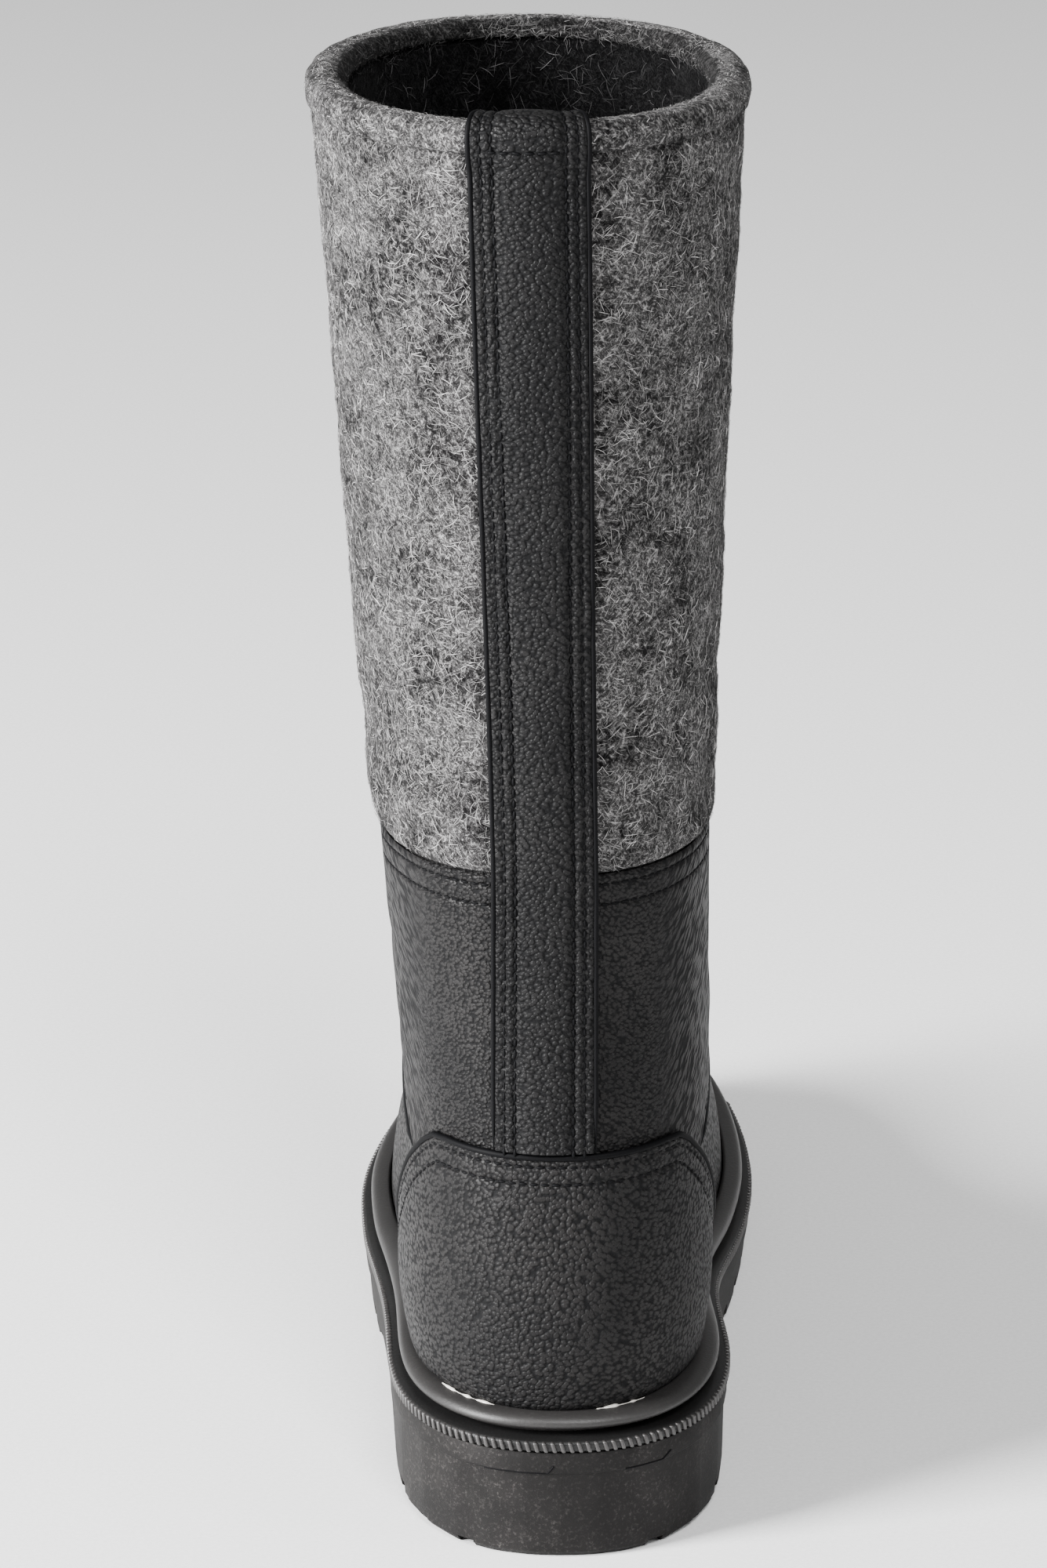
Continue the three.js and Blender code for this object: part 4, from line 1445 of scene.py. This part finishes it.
    def _normals(self, path: np.ndarray) -> np.ndarray:
        """Return the skin's normals beside points."""
        height, angle = self._polar(path)
        return self.skin.normal(height, angle)

    def _stitch_front_edge(self, low: np.ndarray, angles: np.ndarray) -> None:
        """Lay a row of stitches above the quarter's forward edge, outside the counter."""
        path = self.skin.lay(low, angles, 0.0)
        forward = path[:, 1] > HEEL_BACK + 52 * MM
        first = int(np.argmax(forward))
        path = path[first : len(path) - first]
        self._stitch_inside("quarter", path, 2.0 * MM, 1.0, self.quarter_rise - 0.2 * MM)

    def _stitch_inside(self, area: str, path: np.ndarray, inset: float, way: float, lift: float) -> None:
        """Lay a row of stitches beside an edge.

        Args:
            area: the piece that the row belongs to.
            path: the edge.
            inset: how far from the edge.
            way: the side, 1 for the left of the path as seen from outside and -1 for the right.
            lift: how high over the skin.
        """
        path = dense(path, 1.0 * MM)
        along = np.gradient(path, axis=0)
        along /= np.linalg.norm(along, axis=1, keepdims=True)
        side = np.cross(self._normals(path), along)
        moved = path + side * inset * way
        height, angle = self._polar(moved)
        base = self.skin.lay(height, angle, 0.0)
        over = lift + leather_lift(base, height, angle) * (area == "quarter")
        laid = dense(self.skin.lay(height, angle, over), Stitching.PITCH)
        self.stitching.add_row(area, laid, self._normals(laid))

    def build_counter(self, finishes: Finishes) -> None:
        """Lay the heel panel, with its raised edge and two rows of stitches."""
        reach = np.radians(np.arange(-110.0, 110.01, 0.75))
        top = top_crossing(self.skin, reach, lambda y: edge_at(COUNTER_EDGE, y), 31 * MM, 101 * MM)
        bottom = rand_top(self.skin.lay(np.full(len(reach), 36 * MM), reach, 0.0)[:, 1]) + 0.2 * MM
        keep = top > bottom + 0.5 * MM
        reach, top, bottom = reach[keep], top[keep], bottom[keep]
        foot, middle = np.linspace(0, 0.1, 8)[:-1], np.linspace(0.1, 0.86, 30)[:-1]
        shares = np.concatenate([foot, middle, np.linspace(0.86, 1, 22)])
        height = bottom + (top - bottom) * shares[:, None]
        angle = np.broadcast_to(reach, height.shape)
        base = self.skin.lay(height, angle, 0.0)
        edge = self.skin.lay(top, reach, 0.0)
        off_edge = nearest_distance(base, dense(edge, 0.4 * MM))
        lift = self.counter_rise + soft_noise(base, 30 * MM, 31) * 0.2 * MM
        lift = lift + turned_edge(off_edge, 0.7 * MM, 0.5 * MM)
        lift = lift + groove(off_edge, self.counter_rows[0], 0.5 * MM, 0.35 * MM)
        lift = lift + groove(off_edge, self.counter_rows[1], 0.6 * MM, 0.4 * MM)
        lift = lift + turned_edge(height - bottom, 2.2 * MM, 1.1 * MM)
        counter = grid_piece("counter_panel", self.skin.lay(height, angle, lift))
        face_outwards(counter)
        thicken(counter, self.counter_wall)
        hand_in(counter, Slot.LEATHER, [finishes.leather], "heel_counter")
        for inset in self.counter_rows:
            self._stitch_inside("counter", edge, inset, -1.0, self.counter_rise - 0.25 * MM)
        # A black cord along the heel panel's top edge: its blackened cut edge and the painted shadow above
        # it.
        path = self.skin.lay(top + 0.5 * MM, reach, self.counter_rise - 0.35 * MM)
        radius = tapered(len(path), 40, self.counter_edge_and_shadow)
        roll = tube("counter_edge_and_shadow", path, self.skin.normal(top, reach), radius)
        hand_in(roll, Slot.LEATHER, [finishes.thread_and_shadow])

    def build_painted_glints(self, finishes: Finishes) -> None:
        """Lay thin pale glossy beads where the heel panel meets the rand: a painted glint."""
        for name, first, last in (("lateral", -29.0, -11.5), ("medial", 11.5, 24.0)):
            across = np.linspace(first, last, 70) * MM
            height = np.full(len(across), 36.9 * MM)
            angle = self.skin.angle_at(height, across)
            path = self.skin.lay(height, angle, self.counter_rise - 0.45 * MM)
            fade = np.sin(np.linspace(0, math.pi, len(across))) ** 0.5
            broken = np.clip(0.75 + 0.9 * soft_noise(path, 3.4 * MM, 91), 0.12, 1.2)
            radius = (0.06 + 0.55 * fade * broken) * MM
            bead = tube(f"cement_{name}", path, self.skin.normal(height, angle), radius)
            hand_in(bead, Slot.RUBBER, [finishes.painted_glint])

    def build_upper(self, node: bpy.types.Object, finishes: Finishes) -> None:
        """Crease and dress the leather foot itself.

        Args:
            node: the smooth copy of the upper.
            finishes: the finishes.
        """
        points = read_places(node)
        height, angle = self._polar(points)
        lift = leather_lift(points, height, angle)
        push = np.array([vertex.normal for vertex in node.data.vertices])
        fade = np.clip((height - 40 * MM) / (14 * MM), 0, 1)
        moved = points + push * (np.minimum(lift, 0.0) * fade)[:, None]
        node.data.vertices.foreach_set("co", moved.ravel())
        hand_in(node, Slot.LEATHER, [finishes.leather, finishes.lining_and_shade], "upper")
        line_inside(node)


def line_inside(piece: bpy.types.Object) -> None:
    """Give the faces that look at the boot's inside the second material, the dark lining felt, which
    carries painted shade.
    """
    for face in piece.data.polygons:
        centre = face.center
        spine = leg_middle(centre.z)
        spine.y = min(max(centre.y, spine.y - 12 * MM), 95 * MM)
        spine.z = min(centre.z, 52 * MM) if centre.y > -20 * MM else centre.z
        if face.normal.dot(centre - spine) < 0:
            face.material_index = 1


@dataclass
class FeltShaft:
    """The felt shaft with its folded rim."""

    skin: Skin
    rim_top: float = 348.1 * MM

    def build_shaft(self, shaft: bpy.types.Object, finishes: Finishes) -> None:
        """Give the smooth shaft its soft lumps and finish.

        Args:
            shaft: the smooth copy of the shaft.
            finishes: the finishes.
        """
        points = read_places(shaft)
        x = points[:, 0] - np.interp(points[:, 2], LEG_AXIS["height"], LEG_AXIS["x"])
        y = points[:, 1] - np.interp(points[:, 2], LEG_AXIS["height"], LEG_AXIS["y"])
        angle = np.arctan2(x, -y) % (2 * math.pi)
        normal = self.skin.normal(points[:, 2], angle)
        push = np.array([vertex.normal for vertex in shaft.data.vertices])
        outside = np.clip(np.sum(push * normal, axis=1), 0, 1)
        outside *= points[:, 2] > SEAM_HEIGHT - 1 * MM
        base = self.skin.lay(points[:, 2], angle, 0.0)
        lift = felt_lift(base, points[:, 2], angle) * outside
        inner = soft_noise(points, 12 * MM, 41) * 0.25 * MM * (outside < 0.2)
        moved = points + normal * (lift + inner)[:, None]
        shaft.data.vertices.foreach_set("co", moved.ravel())
        hand_in(shaft, Slot.GREY_FELT, [finishes.felt, finishes.lining_and_shade], "shaft")
        # Faces that look inward take the dark lining felt, which carries painted shade.
        for face in shaft.data.polygons:
            if face.normal.dot(face.center - leg_middle(face.center.z)) < 0:
                face.material_index = 1

    def rim_profile(self) -> np.ndarray:
        """Return the rim's section as offsets and heights, from outside over the top to inside."""
        outer, inner = 3.3 * MM, -6.5 * MM
        middle, half = (outer + inner) / 2, (outer - inner) / 2
        shoulder = self.rim_top - 4.2 * MM
        rows = [(x * MM, z * MM) for x, z in ((0.9, 341.3), (2.3, 341.0), (3.05, 341.6), (3.25, 342.6))]
        for step in range(0, 19):
            turn = math.pi * step / 18
            squared = abs(math.cos(turn)) ** 0.75 * math.copysign(1, math.cos(turn))
            rows.append((middle + half * squared, shoulder + 4.2 * MM * math.sin(turn) ** 0.8))
        rows += [(inner + x * MM, z * MM) for x, z in ((0.05, 343.4), (0.3, 342.9), (1.0, 342.7))]
        rows += [(-4.7 * MM, 344.5 * MM), (1.5 * MM, 344.5 * MM)]
        return np.array(rows)

    def build_rim(self, finishes: Finishes) -> None:
        """Fold the binding over the shaft's top edge."""
        profile = self.rim_profile()
        angles = np.radians(np.arange(0.0, 360.0, 1.5))
        shape = (len(profile), len(angles))
        offset, height = profile[:, 0][:, None], profile[:, 1][:, None]
        places = self.skin.lay(np.broadcast_to(height, shape), np.broadcast_to(angles, shape), offset)
        shake = soft_noise(places, 11 * MM, 51) * 0.28 * MM + soft_noise(places, 40 * MM, 52) * 0.35 * MM
        level = np.full(len(angles), RIM_HEIGHT)
        outwards = self.skin.normal(level, angles)[None] * np.sign(offset + 1.7 * MM)[..., None]
        places = places + outwards * shake[..., None]
        places[..., 2] += shake * 0.5
        places = np.concatenate([places, places[:1]])
        rim = grid_piece("rim_binding", places, around=True)
        select_only(rim)
        bpy.ops.object.mode_set(mode="EDIT")
        bpy.ops.mesh.select_all(action="SELECT")
        bpy.ops.mesh.normals_make_consistent(inside=False)
        bpy.ops.object.mode_set(mode="OBJECT")
        hand_in(rim, Slot.GREY_FELT, [finishes.felt, finishes.rim_shade_felt], "collar_binding")
        # Faces inside the fold take the darker copy of the felt: painted shade.
        inner = self.skin.lay(level, angles, -4.4 * MM)[:, :2]
        tree = KDTree(len(inner))
        for index, (x, y) in enumerate(inner):
            tree.insert((x, y, 0.0), index)
        tree.balance()
        middle = leg_middle(RIM_HEIGHT)
        for face in rim.data.polygons:
            nearest = tree.find((face.center.x, face.center.y, 0.0))[0]
            reach = math.hypot(face.center.x - middle.x, face.center.y - middle.y)
            if reach < math.hypot(nearest.x - middle.x, nearest.y - middle.y):
                face.material_index = 1


@dataclass
class Backstay:
    """The leather strip up the back and over the rim."""

    skin: Skin
    stitching: Stitching
    thickness: float = 1.9 * MM
    width: float = 25 * MM
    rise: float = 2.1 * MM
    rows: tuple[float, float] = (2.3 * MM, 4.7 * MM)
    # Radius of the black cords along the strip's sides: cut edge and painted shadow.
    edge_shadow_radius: float = 0.65 * MM

    def half_width(self, height: np.ndarray) -> np.ndarray:
        """Return half the strip's width at heights."""
        share = np.clip((height - SEAM_HEIGHT) / (181 * MM), 0, 1)
        return self.width / 2 * (0.88 + 0.12 * share * share * (3 - 2 * share))

    def path(self) -> np.ndarray:
        """Return the strip's middle line as offsets, heights and distances along it."""
        rows = [(self.rise, z * MM) for z in np.arange(101.5, 336.0, 1.1)]
        for share in np.linspace(0.1, 1, 7):
            bend = 1.3 * MM * share * share * (3 - 2 * share)
            rows.append((self.rise + bend, (336 + 6 * share) * MM))
        middle, half, shoulder = -1.6 * MM, 5.1 * MM, 343.9 * MM
        for step in range(0, 17):
            turn = math.pi * step / 16
            squared = abs(math.cos(turn)) ** 0.75 * math.copysign(1, math.cos(turn))
            rows.append((middle + half * squared, shoulder + 4.6 * MM * math.sin(turn) ** 0.8))
        rows += [(-6.75 * MM, z * MM) for z in np.arange(343.2, 339.0, -0.8)]
        line = np.array(rows)
        steps = np.linalg.norm(np.diff(line, axis=0), axis=1)
        return np.column_stack([line, np.concatenate([[0], np.cumsum(steps)])])

    def build(self, finishes: Finishes) -> None:
        """Lay the strip and its stitches."""
        line = self.path()
        flank = np.array([0.58, 0.63, 0.68, 0.73, 0.78, 0.82, 0.86, 0.9, 0.95, 0.985, 1])
        shares = np.concatenate([-flank[::-1], np.linspace(-0.5, 0.5, 15), flank])
        height = line[:, 1][:, None] * np.ones(len(shares))
        half = self.half_width(height)
        across = shares * half
        angle = self.skin.angle_at(height, across)
        edge = half - np.abs(across)
        puff = 0.55 * MM * np.clip(1 - (across / (half - 5.2 * MM)) ** 2, 0, 1)
        puff = puff + turned_edge(edge, 0.8 * MM, 0.6 * MM)
        puff = puff + groove(edge, self.rows[0], 0.45 * MM, 0.45 * MM)
        puff = puff + groove(edge, self.rows[1], 0.5 * MM, 0.6 * MM)
        along = line[:, 2][:, None]
        rising = line[: np.argmax(line[:, 1])]
        rim_row = float(np.interp(342.2, rising[:, 1] / MM, rising[:, 2]))
        inner_edge = edge > self.rows[1]
        puff = puff - 0.6 * MM * np.exp(-(((along - rim_row) / (0.6 * MM)) ** 2)) * inner_edge
        bottom = self.skin.lay(height, angle, line[:, 0][:, None])
        tangent = np.gradient(bottom, axis=0)
        sideways = np.gradient(bottom, axis=1)
        out = np.cross(sideways, tangent)
        out /= np.linalg.norm(out, axis=2, keepdims=True)
        wobble = soft_noise(bottom, 17 * MM, 61) * 0.12 * MM
        top = bottom + out * (self.thickness + puff + wobble)[..., None]
        strip = grid_piece("backstay_strip", top)
        face_outwards(strip)
        thicken(strip, self.thickness)
        hand_in(strip, Slot.LEATHER, [finishes.strip_leather], "backstay")
        for side in (-1, 1):
            for inset in self.rows:
                self._stitch_side(line, side, inset)
            self._lay_side_shadow(line, side, finishes)
        self._stitch_across(line, rim_row)

    def _row_points(self, line: np.ndarray, across: np.ndarray) -> np.ndarray:
        """Return points under the strip, at distances across it."""
        angle = self.skin.angle_at(line[:, 1], across)
        return self.skin.lay(line[:, 1], angle, line[:, 0])

    def _row_normals(self, line: np.ndarray, across: np.ndarray) -> tuple[np.ndarray, np.ndarray]:
        """Return points on the strip's underside and the outward direction at each."""
        low = self._row_points(line, across)
        inner = self._row_points(line, across - 0.5 * MM)
        outer = self._row_points(line, across + 0.5 * MM)
        out = np.cross(outer - inner, np.gradient(low, axis=0))
        return low, out / np.linalg.norm(out, axis=1, keepdims=True)

    def _lay_side_shadow(self, line: np.ndarray, side: int, finishes: Finishes) -> None:
        """Lay a black cord along one side of the strip: its blackened cut edge and the painted shadow
        beside it.
        """
        low, out = self._row_normals(line, side * (self.half_width(line[:, 1]) + 0.15 * MM))
        radius = tapered(len(low), 8, self.edge_shadow_radius)
        name = "strip_edge_shadow_left" if side < 0 else "strip_edge_shadow_right"
        edge = tube(name, low + out * 0.75 * self.thickness, out, radius)
        hand_in(edge, Slot.LEATHER, [finishes.thread_and_shadow])

    def _stitch_side(self, line: np.ndarray, side: int, inset: float) -> None:
        """Lay one row of stitches along the strip."""
        low, out = self._row_normals(line, side * (self.half_width(line[:, 1]) - inset))
        laid = dense(low + out * (self.thickness - 0.3 * MM), Stitching.PITCH)
        source = np.linspace(0, 1, len(out))
        target = np.linspace(0, 1, len(laid))
        normals = np.stack([np.interp(target, source, out[:, axis]) for axis in range(3)], axis=1)
        self.stitching.add_row("backstay", laid, normals)

    def _stitch_across(self, line: np.ndarray, at: float) -> None:
        """Lay the row of stitches across the strip below the rim."""
        row = int(np.argmin(np.abs(line[:, 2] - at)))
        half = float(self.half_width(line[row, 1])) - 4.7 * MM
        across = np.arange(-half, half + 0.1 * MM, Stitching.PITCH)
        height = np.full(len(across), line[row, 1])
        angle = self.skin.angle_at(height, across)
        crown = 0.55 * MM * np.clip(1 - (across / half) ** 2, 0, 1)
        points = self.skin.lay(height, angle, line[row, 0] + self.thickness + crown - 0.3 * MM)
        self.stitching.add_row("backstay", points, self.skin.normal(height, angle))


class Wool:
    """Loose fibres, each a thin curved ribbon with a shade of its own."""

    STEPS = 4
    TAPER = np.array([0.4, 1.0, 1.0, 0.4])
    FELT_COUNT = 27500
    RIM_COUNT = 13000
    LINING_COUNT = 7500

    def __init__(self, skin: Skin) -> None:
        """Keep the skin that the fibres lie on."""
        self.skin = skin

    def lay(
        self,
        name: str,
        seed: int,
        height: np.ndarray,
        angle: np.ndarray,
        offset: np.ndarray,
        length: tuple[float, float],
        rise: tuple[float, float],
        width: tuple[float, float],
        shade_power: float,
        side: float = 1.0,
    ) -> bpy.types.Object:
        """Lay fibres at places on the skin.

        Args:
            name: the piece's name.
            seed: the random seed.
            height: each fibre's height.
            angle: each fibre's angle.
            offset: how far over the skin each fibre lies.
            length: the shortest and longest fibre.
            rise: the lowest and highest arch.
            width: the thinnest and thickest fibre.
            shade_power: how rare the bright fibres are.
            side: 1 for the outside and -1 for the inside.

        Returns:
            The joined piece.
        """
        rng = np.random.default_rng(seed)
        count = len(height)
        long = rng.uniform(*length, count)
        turn = rng.uniform(0, 2 * math.pi, count)
        curl = rng.normal(0, 0.5, count)
        arch = rng.uniform(rise[0], rise[1], count) * rng.uniform(0.2, 1, count)
        thick = rng.uniform(*width, count) / 2
        along = np.linspace(-0.5, 0.5, self.STEPS)
        heading = turn[:, None] + curl[:, None] * along
        radius = np.maximum(self.skin.arc_radius(height, angle), 20 * MM)
        step = long[:, None] / (self.STEPS - 1)
        over = np.cumsum(np.cos(heading) * step, axis=1)
        up = np.cumsum(np.sin(heading) * step, axis=1)
        over -= over.mean(axis=1, keepdims=True)
        up -= up.mean(axis=1, keepdims=True)
        rows = height[:, None] + up
        turns = angle[:, None] + over / radius[:, None]
        lifts = offset[:, None] + side * (arch[:, None] * np.cos(math.pi * along) - 0.04 * MM)
        if name.startswith("felt"):
            base = self.skin.lay(rows, turns, 0.0)
            lifts = lifts + felt_lift(base, rows, turns)
        centre = self.skin.lay(rows, turns, lifts)
        out = self.skin.normal(rows, turns)
        forward = np.gradient(centre, axis=1)
        across = np.cross(out, forward)
        across /= np.linalg.norm(across, axis=2, keepdims=True) + 1e-12
        half = thick[:, None] * self.TAPER
        tilt = rng.uniform(-0.6, 0.6, (count, 1, 1))
        across = across + out * tilt
        left, right = centre - across * half[..., None], centre + across * half[..., None]
        points = np.stack([left, right], axis=2).reshape(count, -1, 3)
        quads = np.array([[2 * i, 2 * i + 1, 2 * i + 3, 2 * i + 2] for i in range(self.STEPS - 1)]).ravel()
        corners = quads[None] + (np.arange(count) * self.STEPS * 2)[:, None]
        sizes = np.full(count * (self.STEPS - 1), 4)
        piece = mesh_from_arrays(name, points.reshape(-1, 3), corners.ravel(), sizes)
        marl = soft_noise(centre[:, 2], 15 * MM, 71) * 0.3 + soft_noise(centre[:, 2], 5 * MM, 72) * 0.25
        shade = rng.uniform(0, 1, count) ** shade_power * np.clip(0.68 + marl, 0.1, 1.2)
        attribute = piece.data.attributes.new("shade", "FLOAT", "POINT")
        attribute.data.foreach_set("value", np.repeat(shade, self.STEPS * 2).astype(np.float32))
        return piece

    def build(self, finishes: Finishes) -> None:
        """Lay the shaft's, the rim's and the inside's fibres; the inside's are darker, partly painted
        shade.
        """
        for index, seed in enumerate((101, 102)):
            rng = np.random.default_rng(seed)
            count = self.FELT_COUNT
            height = rng.uniform(170.3, 339.6, count) * MM
            angle = rng.uniform(0, 2 * math.pi, count)
            piece = self.lay(
                f"felt_fibres_{index + 1}", seed + 50, height, angle, np.full(count, 1.85 * MM),
                (1.0 * MM, 4.6 * MM), (0.05 * MM, 0.5 * MM), (0.06 * MM, 0.13 * MM), 2.2,
            )
            hand_in(piece, Slot.GREY_FELT, [finishes.fibre])
        self._rim_fibres(finishes)
        rng = np.random.default_rng(104)
        count = self.LINING_COUNT
        height = 342 * MM - rng.uniform(0, 1, count) ** 1.4 * 95 * MM
        piece = self.lay(
            "lining_fibres", 154, height, rng.uniform(0, 2 * math.pi, count), np.full(count, -5.0 * MM),
            (2.0 * MM, 6.0 * MM), (0.1 * MM, 0.9 * MM), (0.08 * MM, 0.15 * MM), 2.2, side=-1.0,
        )
        hand_in(piece, Slot.DARK_FELT, [finishes.lining_shade_fibre])

    def _rim_fibres(self, finishes: Finishes) -> None:
        """Lay short fibres all over the rim's rounded section."""
        rng = np.random.default_rng(103)
        count = self.RIM_COUNT
        angle = rng.uniform(0, 2 * math.pi, count)
        turn = rng.uniform(-0.35, math.pi + 0.3, count)
        centre_offset, centre_height = -1.7 * MM, 343.9 * MM
        sections = np.stack([np.cos(turn) * 4.9 * MM, np.sin(turn) * 4.3 * MM], axis=1)
        radial = np.stack([np.cos(turn), np.sin(turn)], axis=1)
        long = rng.uniform(1.0, 3.2, count) * MM
        heading = rng.uniform(0, 2 * math.pi, count)
        arch = rng.uniform(0.05, 0.6, count) * MM * rng.uniform(0.1, 1, count)
        along = np.linspace(-0.5, 0.5, self.STEPS)
        around = np.cos(heading)[:, None] * long[:, None] * along
        over = np.sin(heading)[:, None] * long[:, None] * along / (4.6 * MM)
        turns = turn[:, None] + over
        lift = arch[:, None] * np.cos(math.pi * along)
        offset = centre_offset + np.cos(turns) * (4.85 * MM + lift)
        height = centre_height + np.sin(turns) * (4.3 * MM + lift)
        angles = angle[:, None] + around / (50 * MM)
        centre = self.skin.lay(height, angles, offset)
        flat = self.skin.normal(np.full(angles.shape, RIM_HEIGHT), angles)
        out = flat * np.cos(turns)[..., None]
        out[..., 2] += np.sin(turns)
        forward = np.gradient(centre, axis=1)
        across = np.cross(out, forward)
        across /= np.linalg.norm(across, axis=2, keepdims=True) + 1e-12
        half = (rng.uniform(0.03, 0.065, count) * MM)[:, None] * self.TAPER
        left, right = centre - across * half[..., None], centre + across * half[..., None]
        points = np.stack([left, right], axis=2).reshape(count, -1, 3)
        quads = np.array([[2 * i, 2 * i + 1, 2 * i + 3, 2 * i + 2] for i in range(self.STEPS - 1)]).ravel()
        corners = quads[None] + (np.arange(count) * self.STEPS * 2)[:, None]
        piece = mesh_from_arrays(
            "rim_fibres", points.reshape(-1, 3), corners.ravel(), np.full(count * (self.STEPS - 1), 4)
        )
        # Fibres that face into the shaft are darker and fewer are bright: painted shade.
        inward_shade = np.clip((-np.cos(turn) - 0.1) / 0.7, 0, 1)
        shade = rng.uniform(0, 1, count) ** (1.9 + 0.8 * inward_shade) * (0.95 - 0.7 * inward_shade)
        attribute = piece.data.attributes.new("shade", "FLOAT", "POINT")
        attribute.data.foreach_set("value", np.repeat(shade, self.STEPS * 2).astype(np.float32))
        hand_in(piece, Slot.GREY_FELT, [finishes.fibre])


def build_boot(nodes: dict[str, bpy.types.Object], finishes: Finishes) -> None:
    """Build every visible piece of the boot.

    Args:
        nodes: the CAD nodes by name.
        finishes: the finishes.
    """
    find_leg_axis(nodes["shaft"], nodes["upper"])
    RubberSole().build(nodes, finishes)
    upper = node_copy(nodes["upper"], "leather_foot")
    crease_sharp_edges(upper, math.radians(60))
    subdivide_smooth(upper, 2)
    shaft = node_copy(nodes["shaft"], "felt_shaft")
    crease_sharp_edges(shaft, math.radians(60))
    subdivide_smooth(shaft, 3)
    skin = Skin(upper, shaft)
    stitching = Stitching()
    foot = LeatherFoot(skin, stitching)
    foot.build_upper(upper, finishes)
    foot.build_quarter(finishes)
    foot.build_counter(finishes)
    foot.build_painted_glints(finishes)
    felt = FeltShaft(skin)
    felt.build_shaft(shaft, finishes)
    felt.build_rim(finishes)
    Backstay(skin, stitching).build(finishes)
    stitching.build(finishes.thread_and_shadow)
    Wool(skin).build(finishes)
    insole = node_copy(nodes["insole"], "footbed")
    crease_sharp_edges(insole, math.radians(40))
    subdivide_smooth(insole, 2)
    # The footbed takes the dark lining felt, which carries painted shade.
    hand_in(insole, Slot.DARK_FELT, [finishes.lining_and_shade], "insole")


# Camera, lights and floor


@dataclass
class Studio:
    """The photograph's viewpoint, a pale floor and soft light."""

    distance: float = 1.4
    height: float = 0.65
    pitch: float = 17.94
    lens: float = 146.0
    side: float = -9 * MM
    heel_back: float = -152.4 * MM
    heel_middle: float = 4.4 * MM

    def build(self) -> None:
        """Make the camera, the lights and the floor."""
        self.add_camera()
        self.add_floor()
        self.add_lights()

    def add_camera(self) -> None:
        """Add the camera behind the heel, looking a little down."""
        camera = bpy.data.cameras.new("camera")
        camera.lens = self.lens
        camera.sensor_width = 36.0
        camera.sensor_fit = "AUTO"
        holder = bpy.data.objects.new("camera", camera)
        bpy.context.scene.collection.objects.link(holder)
        holder.location = (self.heel_middle + self.side, self.heel_back - self.distance, self.height)
        holder.rotation_euler = (math.radians(90 - self.pitch), 0.0, 0.0)
        bpy.context.scene.camera = holder

    def add_floor(self) -> None:
        """Add a wide pale floor."""
        bpy.ops.object.select_all(action="DESELECT")
        bpy.ops.mesh.primitive_plane_add(size=14.0, location=(0.0, 0.0, 0.0))
        floor = bpy.context.object
        floor.name = "floor"
        floor.data.materials.append(PlainFinish("pale_floor", (0.9, 0.9, 0.9), 0.7).build())

    def add_lights(self) -> None:
        """Add a white world and three large soft lights."""
        world = bpy.data.worlds.new("studio")
        world.use_nodes = True
        background = world.node_tree.nodes["Background"]
        background.inputs["Color"].default_value = (1.0, 1.0, 1.0, 1.0)
        background.inputs["Strength"].default_value = 0.36
        bpy.context.scene.world = world
        self.add_light("left_key", (-1.9, -1.0, 0.9), (0.7, 1.5), 330.0)
        self.add_light("right_fill", (1.9, -0.9, 1.0), (0.5, 0.9), 12.0)
        self.add_light("high_fill", (0.5, -2.0, 2.3), (0.9, 0.9), 90.0)

    @staticmethod
    def add_light(
        name: str, place: Triple, size: tuple[float, float], power: float
    ) -> None:
        """Add an area light that faces the boot's middle.

        Args:
            name: its name.
            place: where it stands.
            size: its width and height, in metres.
            power: its power, in watts.
        """
        light = bpy.data.lights.new(name, "AREA")
        light.shape = "RECTANGLE"
        light.size, light.size_y = size
        light.energy = power
        holder = bpy.data.objects.new(name, light)
        bpy.context.scene.collection.objects.link(holder)
        holder.location = place
        aim = Vector((0.0, -0.05, 0.17)) - holder.location
        holder.rotation_euler = aim.to_track_quat("-Z", "Y").to_euler()


def main() -> None:
    """Build the boot's pieces in order."""
    logging.basicConfig(level=logging.INFO, format="%(name)s %(message)s")
    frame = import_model()
    Studio().build()
    finishes = build_finishes()
    build_boot(frame["nodes"], finishes)


if __name__ == "__main__":
    main()
